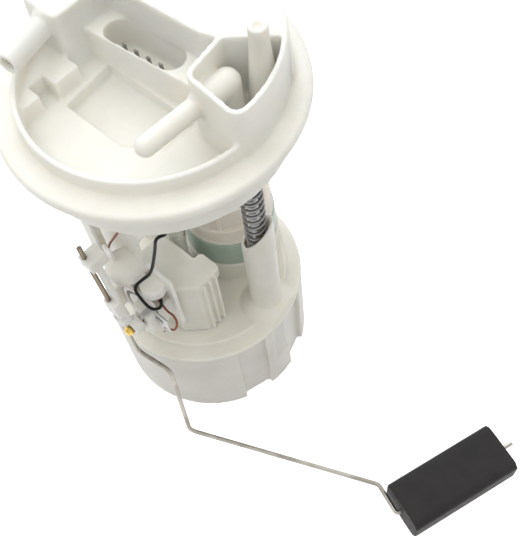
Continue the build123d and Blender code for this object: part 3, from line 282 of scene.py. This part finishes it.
def printed_card(name):
    material, tree, shader = new_material(name)
    where = coordinates(tree)
    flat = tree.nodes.new("ShaderNodeVectorMath")
    flat.operation = "MULTIPLY"
    wire(tree, where, flat.inputs[0])
    flat.inputs[1].default_value = (1, 0, 1)
    reach = tree.nodes.new("ShaderNodeVectorMath")
    reach.operation = "DISTANCE"
    wire(tree, flat.outputs["Vector"], reach.inputs[0])
    reach.inputs[1].default_value = PIVOT_AXIS
    share = tree.nodes.new("ShaderNodeMath")
    share.operation = "DIVIDE"
    wire(tree, reach.outputs["Value"], share.inputs[0])
    share.inputs[1].default_value = CARD_REACH_MM * MM
    stops = [(0.0, ALUMINA)]
    for near, far, tone in TRACKS:
        stops += [(near / CARD_REACH_MM, tone), (far / CARD_REACH_MM, ALUMINA)]
    colour = ramp(tree, share.outputs["Value"], *stops)
    colour.node.color_ramp.interpolation = "CONSTANT"
    grain = ramp(tree, cloud(tree, where, CARD_GRAIN_SCALE, 3), (0.3, grey(0.93)), (0.7, grey(1.0)))
    wire(tree, blended(tree, 1.0, colour, grain, "MULTIPLY"), shader.inputs["Base Color"])
    shader.inputs["Roughness"].default_value = CARD_ROUGHNESS
    bump(tree, shader, grain, 0.2, CARD_GRAIN_DEPTH)
    return material


finish["ceramic"] = printed_card("alumina_card")

# %% [markdown]
# ## Rubber, foam and insulation
# The isolator under the pump's cap is a grey-green rubber band, the float is a closed-cell
# nitrile foam with a dark pressed skin, and the two leads are thin insulated wires. All three
# are dull beside the acetal. Foam has pores, so its relief comes from a Voronoi pattern with
# small cells; rubber has only soft mottling and a bloom that greys it; insulation is smooth.
# The moulded resin and the hose's nylon use the same function.

# %% Rubber and foam
PORE_SCALE = 1600
PORE_DEPTH = 0.05 * MM
RUBBER_IOR = 1.5
BLOOM_SCALE = 70
MOTTLE_SCALE = 400
RUBBER_GRAIN_SCALE = 1500
RUBBER_GRAIN_DEPTH = 0.03 * MM


def rubber(name, tone, bloom, rough, pore_scale=0, pore_depth=0.0, shine=0.5):
    material, tree, shader = new_material(name)
    where = coordinates(tree)
    patch = cloud(tree, where, BLOOM_SCALE, 4, 0.6)
    colour = ramp(tree, patch, (0.32, tone), (0.72, bloom))
    wire(tree, colour, shader.inputs["Base Color"])
    mottle = cloud(tree, where, MOTTLE_SCALE, 2)
    dull = ramp(tree, mottle, (0.3, grey(rough - 0.06)), (0.7, grey(rough + 0.06)))
    wire(tree, dull, shader.inputs["Roughness"])
    shader.inputs["IOR"].default_value = RUBBER_IOR
    shader.inputs["Specular IOR Level"].default_value = shine
    if pore_scale:
        cells = tree.nodes.new("ShaderNodeTexVoronoi")
        cells.inputs["Scale"].default_value = pore_scale
        wire(tree, where, cells.inputs["Vector"])
        pits = ramp(tree, cells.outputs["Distance"], (0.05, grey(0)), (0.35, grey(1)))
        bump(tree, shader, pits, 0.35, pore_depth)
    bump(tree, shader, cloud(tree, where, RUBBER_GRAIN_SCALE, 3), 0.2, RUBBER_GRAIN_DEPTH)
    return material


finish["float_foam"] = rubber(
    "pressed_foam_skin", (0.033, 0.0320, 0.0320), (0.040, 0.0385, 0.0380), 0.45,
    PORE_SCALE, PORE_DEPTH, shine=0.05)
finish["green_rubber"] = rubber("grey_green_rubber", (0.34, 0.46, 0.39), (0.47, 0.56, 0.50), 0.38)
finish["black_rubber"] = rubber("black_rubber", (0.02, 0.02, 0.02), (0.035, 0.035, 0.035), 0.55)
finish["black_lead"] = rubber(
    "black_insulation", (0.006, 0.006, 0.006), (0.010, 0.010, 0.010), 0.42, shine=0.2)
finish["red_lead"] = rubber(
    "red_brown_insulation", (0.22, 0.060, 0.036), (0.30, 0.095, 0.060), 0.40, shine=0.25)
finish["dark_resin"] = rubber("phenolic_resin", (0.035, 0.022, 0.016), (0.055, 0.036, 0.026), 0.42)
finish["clear_hose"] = rubber("milky_nylon_hose", (0.62, 0.62, 0.56), (0.70, 0.70, 0.65), 0.34)

# %% [markdown]
# ## Metals
# Plated, tinned, drawn and brass pieces carry fine lines from how they were worked, and the
# others only a grain with no direction. One function makes them all, from a colour, a darker
# tarnish, a roughness and a stretch that sets which way the lines run. Tarnish gathers in soft
# patches and edges are rubbed bright. The float arm's wire is also made darker and browner
# above a given height.

# %% Metal family
DARKENING_HEIGHT = 100 * MM
DARKENING_FADE = 15 * MM
DARKENING_TONE = (0.52, 0.46, 0.40)
LINE_DEPTH = 0.02 * MM


def darkening(tree, where, height):
    """The metal is darker and browner above a height and plain a fade's length below it."""
    apart = tree.nodes.new("ShaderNodeSeparateXYZ")
    wire(tree, where, apart.inputs[0])
    rise = tree.nodes.new("ShaderNodeMapRange")
    rise.inputs["From Min"].default_value = height - DARKENING_FADE
    rise.inputs["From Max"].default_value = height
    wire(tree, apart.outputs["Z"], rise.inputs["Value"])
    return ramp(tree, rise.outputs["Result"], (0.0, grey(1.0)), (1.0, DARKENING_TONE))


def metal(name, tone, tarnish, rough, stretch=(1, 1, 1), line_scale=2200, patch=45, spread=(0.42, 0.62),
          darkened_above=None):
    material, tree, shader = new_material(name)
    where = coordinates(tree)
    along = coordinates(tree, stretch)
    patches = cloud(tree, where, patch, 5, 0.6)
    colour = ramp(tree, patches, (spread[0], tarnish), (spread[1], tone))
    bright = tuple(min(1.0, part * 1.15 + 0.03) for part in tone)
    colour = blended(tree, edge_wear_and_painted_glow(tree, 0.50, 0.60), colour, bright)
    if darkened_above is not None:
        # The colour is made darker and browner above the given height.
        colour = blended(tree, 1.0, colour, darkening(tree, where, darkened_above), "MULTIPLY")
    lines = cloud(tree, along, line_scale, 2, 0.5)
    shadow = ramp(tree, lines, (0.25, grey(0.86)), (0.7, grey(1.0)))
    wire(tree, blended(tree, 1.0, colour, shadow, "MULTIPLY"), shader.inputs["Base Color"])
    shader.inputs["Metallic"].default_value = 1.0
    satin = ramp(tree, patches, (0.3, grey(rough + 0.14)), (0.7, grey(rough)))
    wire(tree, satin, shader.inputs["Roughness"])
    bump(tree, shader, lines, 0.18, LINE_DEPTH)
    return material


LINES_UP = (1, 1, 0.02)
LINES_LEVEL = (0.05, 0.05, 1)
LINES_ALONG_PIN = (1, 0.03, 1)
finish["arm_steel"] = metal(
    "drawn_wire", (0.47, 0.445, 0.40), (0.21, 0.185, 0.15), 0.28, LINES_LEVEL,
    line_scale=2600, patch=60, spread=(0.30, 0.55), darkened_above=DARKENING_HEIGHT)
finish["spring_steel"] = metal("oiled_spring_wire", (0.26, 0.255, 0.255), (0.085, 0.085, 0.09), 0.27)
finish["bright_steel"] = metal("plated_steel", (0.44, 0.44, 0.44), (0.29, 0.29, 0.29), 0.30, LINES_UP)
finish["plated_can"] = metal("zinc_plated_can", (0.66, 0.65, 0.60), (0.50, 0.48, 0.42), 0.32, LINES_UP)
finish["cast_aluminium"] = metal(
    "cast_aluminium", (0.62, 0.62, 0.62), (0.45, 0.45, 0.45), 0.42, line_scale=900)
finish["tinned_pins"] = metal("tinned_pins", (0.30, 0.30, 0.29), (0.15, 0.15, 0.14), 0.46, LINES_UP)
finish["brass"] = metal("turned_brass", (0.74, 0.52, 0.12), (0.50, 0.32, 0.07), 0.24, LINES_ALONG_PIN)
finish["copper"] = metal("spring_copper", (0.72, 0.38, 0.22), (0.48, 0.22, 0.12), 0.28)
finish["carbon"] = metal("pressed_carbon", (0.06, 0.06, 0.06), (0.03, 0.03, 0.03), 0.55)
finish["magnet_ferrite"] = metal("ground_ferrite", (0.12, 0.12, 0.13), (0.07, 0.07, 0.075), 0.45)

# %% [markdown]
# ## The strainer's cloth
# The pump draws through a sock of woven nylon. Real threads at this scale would be millions of
# faces, so the weave is two crossed wave patterns that drive both the colour and the relief.
# The darker colour between the threads is painted shade.

# %% Woven nylon
THREADS = 220
THREAD_DEPTH = 0.1 * MM
CLOTH_ROUGHNESS = 0.7


def woven(name, tone, painted_gap_shade, threads):
    material, tree, shader = new_material(name)
    where = coordinates(tree)
    bands = []
    for direction in ("X", "Y"):
        band = tree.nodes.new("ShaderNodeTexWave")
        band.bands_direction = direction
        band.inputs["Scale"].default_value = threads
        wire(tree, where, band.inputs["Vector"])
        bands.append(band.outputs["Color"])
    weave = blended(tree, 1.0, bands[0], bands[1], "MULTIPLY")
    # Painted shade: the low parts of the weave, between the threads, take the darker colour.
    wire(tree, ramp(tree, weave, (0.1, painted_gap_shade), (0.6, tone)), shader.inputs["Base Color"])
    shader.inputs["Roughness"].default_value = CLOTH_ROUGHNESS
    bump(tree, shader, weave, 0.6, THREAD_DEPTH)
    return material


finish["strainer_mesh"] = woven("strainer_cloth", (0.62, 0.59, 0.52), (0.30, 0.28, 0.24), THREADS)
print("finishes", len(finish))

# %% [markdown]
# ## Give every node its finish
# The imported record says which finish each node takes. Assigning a material to a slot changes
# nothing of the shape, so it is safe on every CAD node, hidden inner pieces included.

# %% Assign the finishes
body_of = {node: body for body, held in frame["record"]["behaviour"]["bodies"].items() for node in held}
slot_of = {part["node"]: part["material_slot"] for part in frame["record"]["subparts"]}


def dress(obj, slot):
    obj.data.materials.clear()
    obj.data.materials.append(finish[slot])
    return obj


for node, slot in slot_of.items():
    dress(nodes[node], slot)
print("dressed", len(slot_of))

# %% [markdown]
# ## Softly moulded edges
# A moulding has no sharp edge: every corner of its tool is rounded, and every highlight in a
# picture sits on such a rounding. A Bevel modifier is the usual way, but it stumbles where many
# cuts meet, as on the cover. Here the CAD mesh is copied, rebuilt from small voxels, and
# relaxed, which rounds every edge by about a voxel whatever its neighbours. Then the flat parts
# are thinned out again, and weighted normals keep them flat to the eye.

# %% Moulded copies of the CAD shells
JOIN_DISTANCE = 0.001 * MM


def run_modifier(obj, kind, **settings):
    """Adds one modifier and applies it to the mesh."""
    modifier = obj.modifiers.new(kind.lower(), kind)
    for key, value in settings.items():
        setattr(modifier, key, value)
    evaluated = obj.evaluated_get(bpy.context.evaluated_depsgraph_get())
    mesh = bpy.data.meshes.new_from_object(evaluated)
    obj.modifiers.remove(modifier)
    earlier = obj.data
    obj.data = mesh
    bpy.data.meshes.remove(earlier)


def add_piece(name, mesh):
    obj = bpy.data.objects.new(name, mesh)
    bpy.context.collection.objects.link(obj)
    return obj


def smooth_shading(obj):
    for face in obj.data.polygons:
        face.use_smooth = True
    return obj


def clean_copy(name, node):
    """The node's mesh as a new object, with the corners that its faces share joined."""
    shape = bmesh.new()
    shape.from_mesh(nodes[node].data)
    bmesh.ops.remove_doubles(shape, verts=shape.verts, dist=JOIN_DISTANCE)
    mesh = bpy.data.meshes.new(name)
    shape.to_mesh(mesh)
    shape.free()
    return add_piece(name, mesh)


def moulded(name, node, voxel_mm, relax, keep):
    """A rounded, satin-ready stand-in for a node. voxel_mm is about the rounding's size."""
    obj = clean_copy(name, node)
    run_modifier(obj, "REMESH", mode="VOXEL", voxel_size=voxel_mm * MM, adaptivity=0.0)
    run_modifier(obj, "SMOOTH", factor=0.5, iterations=relax)
    run_modifier(obj, "DECIMATE", decimate_type="COLLAPSE", ratio=keep)
    smooth_shading(obj)
    run_modifier(obj, "WEIGHTED_NORMAL", keep_sharp=False, weight=60)
    dress(obj, slot_of[node])
    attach(obj, body_of[node])
    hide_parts(node)
    print(name, "faces", len(obj.data.polygons))

# %% [markdown]
# ## The shells and mouldings
# The voxel has to be well under the thinnest wall, or the wall gets holes, and small pieces
# need a smaller one than large ones, because real moulders give them smaller corners too.

# %% Make the mouldings
# Each piece: its voxel in mm, how often it is relaxed, and the share of its faces that is kept.
MOULDINGS = {
    "flange_cover": (0.60, 5, 0.30),
    "reservoir_lid": (0.60, 5, 0.30),
    "reservoir_pot": (0.60, 4, 0.30),
    "sender_bracket": (0.45, 4, 0.35),
    "sender_housing": (0.32, 4, 0.45),
    "arm_holder": (0.26, 4, 0.50),
    "pump_cap": (0.40, 4, 0.40),
    "outlet_pipe": (0.35, 3, 0.50),
    "isolator_band": (0.40, 4, 0.40),
    "lead_plug": (0.35, 3, 0.50),
    "pressure_regulator": (0.45, 3, 0.40),
    "inlet_strainer": (0.80, 4, 0.50),
    "float_block": (0.60, 5, 0.50),
}
for node, (voxel_mm, relax, keep) in MOULDINGS.items():
    moulded(node + "_moulding", node, voxel_mm, relax, keep)

# %% [markdown]
# ## Turned, drawn and pressed pieces
# Rods, rings, pins and blades keep the CAD's exact edges: a turned or pressed piece is crisp.
# Only the shading is changed, so that a round bar looks round while its end stays sharp.

# %% Crisp pieces
SHARP_ANGLE = math.radians(32)


def crisp(name, node):
    """The node's own mesh with smooth shading up to its sharp edges."""
    obj = clean_copy(name, node)
    smooth_shading(obj)
    obj.data.set_sharp_from_angle(angle=SHARP_ANGLE)
    dress(obj, slot_of[node])
    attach(obj, body_of[node])
    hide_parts(node)


MADE_BELOW = ("spring_left", "spring_right", "supply_hose", "lead_black", "lead_red")
for node in sorted(slot_of):
    if node not in MOULDINGS and node not in MADE_BELOW:
        crisp(node + "_piece", node)
print("crisp pieces", len(slot_of) - len(MOULDINGS) - len(MADE_BELOW))

# %% [markdown]
# ## The two springs
# A compression spring is a wire on a helix, with its last turns wound close so that it sits
# flat. A Screw modifier gives an even helix only, so the turns are worked out point by point:
# the height climbs slowly at both ends and at the full pitch between them. The springs squeeze
# when the cover goes down, but these helices keep their shape and ride on the reservoir.

# %% Springs
END_ANGLE = math.radians(60)


def tube_along(name, points, radius, sides):
    """A round bar of mesh with closed ends that follows a list of points."""
    shape = bmesh.new()
    rings = []
    side = None
    for index, point in enumerate(points):
        ahead = points[min(index + 1, len(points) - 1)] - points[max(index - 1, 0)]
        ahead.normalize()
        if side is None:
            side = ahead.orthogonal().normalized()
        side = (side - ahead * side.dot(ahead)).normalized()
        other = ahead.cross(side)
        ring = []
        for step in range(sides):
            angle = 2 * math.pi * step / sides
            around = side * math.cos(angle) + other * math.sin(angle)
            ring.append(shape.verts.new(point + around * radius))
        rings.append(ring)
    for near, far in zip(rings, rings[1:]):
        for step in range(sides):
            after = (step + 1) % sides
            shape.faces.new((near[step], near[after], far[after], far[step]))
    shape.faces.new(list(reversed(rings[0])))
    shape.faces.new(rings[-1])
    mesh = bpy.data.meshes.new(name)
    shape.to_mesh(mesh)
    shape.free()
    obj = smooth_shading(add_piece(name, mesh))
    obj.data.set_sharp_from_angle(angle=END_ANGLE)
    return obj


SPRING_WIRE = 0.7 * MM
SPRING_SIDES = 10
SPRING_TURN_STEPS = 26
CLOSED_TURNS = 1.5
CLOSED_SPACING = 1.02
SPRING_PITCH = 4.4 * MM


def spring(name, node):
    low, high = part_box(node)
    middle = (low + high) / 2
    reach = (high.x - low.x) / 2 - SPRING_WIRE
    bottom = low.z + SPRING_WIRE
    top = high.z - SPRING_WIRE
    closed = CLOSED_TURNS * 2 * SPRING_WIRE * CLOSED_SPACING
    open_turns = round((top - bottom - 2 * closed) / SPRING_PITCH)
    turns = open_turns + 2 * CLOSED_TURNS
    points = []
    for step in range(round(turns * SPRING_TURN_STEPS) + 1):
        turn = step / SPRING_TURN_STEPS
        opened = min(max((turn - CLOSED_TURNS) / open_turns, 0.0), 1.0)
        ends = min(turn, CLOSED_TURNS) + max(turn - CLOSED_TURNS - open_turns, 0.0)
        height = bottom + ends / CLOSED_TURNS * closed + opened * (top - bottom - 2 * closed)
        angle = 2 * math.pi * turn
        x = middle.x + reach * math.cos(angle)
        y = middle.y + reach * math.sin(angle)
        points.append(Vector((x, y, height)))
    obj = dress(tube_along(name, points, SPRING_WIRE, SPRING_SIDES), "spring_steel")
    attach(obj, "reservoir")
    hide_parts(node)
    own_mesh(obj)


spring("spring_left_wire", "spring_left")
spring("spring_right_wire", "spring_right")

# %% [markdown]
# ## The supply hose
# The hose joins a sprung cover to a pot that stays put, so it is a corrugated nylon hose: its
# convolutions close up when the cover goes down. Its two ends are plain cuffs over spigots. It
# is one outline turned round its axis, and it keeps that one shape.

# %% Hose
HOSE_SIDES = 40
CUFF_LENGTH = 30 * MM
CONVOLUTION = 3.0 * MM
CONVOLUTION_DEPTH = 0.75 * MM
CONVOLUTION_STEPS = 8
CUFF_WALL = 1.0 * MM
UPPER_CUFF_SHARE = 0.7
CUFF_ANGLE = math.radians(50)


def turned(name, outline, centre, sides):
    """A closed outline of (radius, height) pairs turned round an upright axis."""
    shape = bmesh.new()
    rings = []
    for step in range(sides):
        angle = 2 * math.pi * step / sides
        across = Vector((math.cos(angle), math.sin(angle), 0))
        ring = []
        for reach, height in outline:
            ring.append(shape.verts.new(centre + across * reach + Vector((0, 0, height))))
        rings.append(ring)
    count = len(outline)
    for near, far in zip(rings, rings[1:] + rings[:1]):
        for step in range(count):
            after = (step + 1) % count
            shape.faces.new((near[step], far[step], far[after], near[after]))
    bmesh.ops.recalc_face_normals(shape, faces=shape.faces)
    mesh = bpy.data.meshes.new(name)
    shape.to_mesh(mesh)
    shape.free()
    obj = smooth_shading(add_piece(name, mesh))
    obj.data.set_sharp_from_angle(angle=CUFF_ANGLE)
    return obj


def supply_hose():
    low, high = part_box("supply_hose")
    reach = (high.x - low.x) / 2
    start = low.z + CUFF_LENGTH
    end = high.z - CUFF_LENGTH * UPPER_CUFF_SHARE
    outside = [(reach, low.z)]
    folds = round((end - start) / CONVOLUTION)
    steps = folds * CONVOLUTION_STEPS
    for step in range(steps + 1):
        height = start + (end - start) * step / steps
        dip = 0.5 - 0.5 * math.cos(2 * math.pi * step / CONVOLUTION_STEPS)
        outside.append((reach - CONVOLUTION_DEPTH * dip, height))
    outside.append((reach, high.z))
    narrowest = reach - CUFF_WALL - CONVOLUTION_DEPTH
    inside = [(max(out - CUFF_WALL, narrowest), height) for out, height in reversed(outside)]
    centre = Vector(((low.x + high.x) / 2, (low.y + high.y) / 2, 0))
    obj = dress(turned("supply_hose_tube", outside + inside, centre, HOSE_SIDES), "clear_hose")
    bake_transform(obj)
    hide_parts("supply_hose")
    print("hose convolutions", folds)


supply_hose()

# %% [markdown]
# ## The two leads
# The sender's leads run from the plug under the cover and over the sender's boss. The black one
# ends behind the ear, on the housing's wall, and the red-brown one loops round to the card's
# terminals. Each is a NURBS curve steered by a few listed points. The curve is read once as a
# mesh without a bevel, and a round tube follows it. The leads give way over a shorter height
# than hose or springs, but these tubes are fixed and don't fold when the cover goes down.

# %% Leads
BLACK_RADIUS = 0.75 * MM
RED_RADIUS = 0.55 * MM
LEAD_SIDES = 14
CURVE_STEPS = 14
BLACK_ROUTE = (
    (0.3, 6.4, 181.0), (0.3, 6.4, 172.5), (7.4, -1.0, 165.0), (15.6, -13.0, 158.0),
    (24.0, -26.4, 152.4), (22.6, -32.0, 155.6), (21.4, -33.4, 146.0), (16.6, -36.4, 125.0),
    (13.4, -40.0, 120.8), (12.8, -45.4, 120.0), (17.0, -46.2, 116.4), (22.2, -46.0, 111.2),
    (25.2, -42.6, 111.0), (21.6, -39.0, 108.6), (16.6, -37.4, 107.8), (16.6, -34.0, 107.8),
)
RED_ROUTE = (
    (-6.0, 5.8, 181.0), (-6.0, 5.8, 172.5), (0.6, 0.2, 166.6), (4.4, -13.0, 162.4),
    (5.2, -28.0, 155.0), (0.2, -37.4, 141.6), (-10.2, -39.9, 122.8), (-9.8, -38.6, 111.6),
    (-2.6, -38.0, 103.5), (10.0, -37.6, 106.0), (19.4, -38.6, 103.0), (23.6, -39.2, 100.6),
    (28.2, -39.4, 103.7), (31.8, -40.4, 101.4), (30.6, -43.2, 94.4), (25.0, -43.8, 93.9),
)


def curve_points(route):
    """The points of a smooth NURBS curve set by a lead's route, in metres."""
    data = bpy.data.curves.new("route", "CURVE")
    data.dimensions = "3D"
    data.resolution_u = CURVE_STEPS
    spline = data.splines.new("NURBS")
    spline.points.add(len(route) - 1)
    for point, place in zip(spline.points, route):
        point.co = (*(Vector(place) * MM), 1.0)
    spline.order_u = 3
    spline.use_endpoint_u = True
    holder = bpy.data.objects.new("route", data)
    bpy.context.collection.objects.link(holder)
    evaluated = holder.evaluated_get(bpy.context.evaluated_depsgraph_get())
    mesh = bpy.data.meshes.new_from_object(evaluated)
    points = [vertex.co.copy() for vertex in mesh.vertices]
    bpy.data.objects.remove(holder)
    bpy.data.curves.remove(data)
    bpy.data.meshes.remove(mesh)
    return points


def lead(name, node, route, radius):
    points = curve_points(route)
    length = sum((b - a).length for a, b in zip(points, points[1:]))
    obj = dress(tube_along(name, points, radius, LEAD_SIDES), slot_of[node])
    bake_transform(obj)
    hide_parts(node)
    print(name, "length mm", round(length / MM, 1))


lead("black_lead", "lead_black", BLACK_ROUTE, BLACK_RADIUS)
lead("red_lead", "lead_red", RED_ROUTE, RED_RADIUS)

# %% [markdown]
# ## Floor and light
# Small parts are shown in wide soft light over a white sweep. Most of it comes from the world,
# which is stronger from above, and three softboxes model the edges. The floor has to look white
# and still hold a shadow, so rays from the camera, in mirrors and through glass see a lit
# surface with a glow added, and all others see a plain floor that doesn't flood the part with
# light. The same rays see a plain white world.

# %% Floor, world and lamps
FLOOR_DROP = 0.2 * MM
FLOOR_HALF = 3.0
FLOOR_TONE = (0.56, 0.56, 0.555)
FLOOR_ROUGHNESS = 0.9
FLOOR_GLOW = 0.80
WORLD_TOP = 1.22
WORLD_SIDE = 0.30
WORLD_TINT = (1.0, 0.99, 0.97)


def seen_directly(tree):
    """1 for rays from the camera, in mirrors and through glass, else 0."""
    path = tree.nodes.new("ShaderNodeLightPath")
    total = path.outputs["Is Camera Ray"]
    for name in ("Is Glossy Ray", "Is Transmission Ray"):
        node = tree.nodes.new("ShaderNodeMath")
        node.operation = "MAXIMUM"
        wire(tree, total, node.inputs[0])
        wire(tree, path.outputs[name], node.inputs[1])
        total = node.outputs["Value"]
    return total


def make_floor():
    shape = bmesh.new()
    bmesh.ops.create_grid(shape, x_segments=1, y_segments=1, size=FLOOR_HALF)
    mesh = bpy.data.meshes.new("floor")
    shape.to_mesh(mesh)
    shape.free()
    floor = add_piece("floor", mesh)
    floor.location.z = cad_low.z - FLOOR_DROP
    material, tree, shader = new_material("white_sweep")
    shader.inputs["Base Color"].default_value = (*FLOOR_TONE, 1)
    shader.inputs["Roughness"].default_value = FLOOR_ROUGHNESS
    glow = tree.nodes.new("ShaderNodeEmission")
    glow.inputs["Strength"].default_value = FLOOR_GLOW
    both = tree.nodes.new("ShaderNodeAddShader")
    wire(tree, shader.outputs[0], both.inputs[0])
    wire(tree, glow.outputs[0], both.inputs[1])
    chosen = tree.nodes.new("ShaderNodeMixShader")
    wire(tree, seen_directly(tree), chosen.inputs[0])
    wire(tree, shader.outputs[0], chosen.inputs[1])
    wire(tree, both.outputs[0], chosen.inputs[2])
    wire(tree, chosen.outputs[0], tree.nodes["Material Output"].inputs["Surface"])
    floor.data.materials.append(material)


def make_world(top, side):
    """Soft light that is stronger from above than from the sides, on a white background."""
    world = bpy.data.worlds.new("studio")
    bpy.context.scene.world = world
    world.use_nodes = True
    tree = world.node_tree
    place = tree.nodes.new("ShaderNodeTexCoord")
    apart = tree.nodes.new("ShaderNodeSeparateXYZ")
    wire(tree, place.outputs["Generated"], apart.inputs[0])
    height = ramp(tree, apart.outputs["Z"], (0.05, grey(side / top)), (0.85, grey(1.0)))
    dim = tree.nodes["Background"]
    wire(tree, blended(tree, 1.0, height, WORLD_TINT, "MULTIPLY"), dim.inputs["Color"])
    dim.inputs["Strength"].default_value = top
    white = tree.nodes.new("ShaderNodeBackground")
    white.inputs["Color"].default_value = (1, 1, 1, 1)
    white.inputs["Strength"].default_value = 1.0
    chosen = tree.nodes.new("ShaderNodeMixShader")
    wire(tree, seen_directly(tree), chosen.inputs[0])
    wire(tree, dim.outputs[0], chosen.inputs[1])
    wire(tree, white.outputs[0], chosen.inputs[2])
    wire(tree, chosen.outputs[0], tree.nodes["World Output"].inputs["Surface"])


def softbox(name, place, target, size, watts, tone=(1, 1, 1)):
    data = bpy.data.lights.new(name, "AREA")
    data.shape = "RECTANGLE"
    data.size, data.size_y = size
    data.energy = watts
    data.color = tone
    lamp = bpy.data.objects.new(name, data)
    bpy.context.collection.objects.link(lamp)
    lamp.location = place
    aim = Vector(target) - Vector(place)
    lamp.rotation_euler = aim.to_track_quat("-Z", "Y").to_euler()


make_floor()
make_world(WORLD_TOP, WORLD_SIDE)
softbox("key", place=(-0.25, 0.05, 1.15), target=(0.02, 0.0, 0.15), size=(1.0, 1.0), watts=2.3,
        tone=(1.0, 0.985, 0.96))
softbox("side", place=(-0.85, -0.10, 0.65), target=(0.0, 0.0, 0.15), size=(0.8, 0.9), watts=0.5)
softbox("rim", place=(-0.70, 0.60, 0.70), target=(0.0, 0.0, 0.15), size=(0.4, 0.8), watts=3.0,
        tone=(0.80, 0.88, 1.0))
bpy.context.scene.view_settings.view_transform = "Standard"
print("lit")
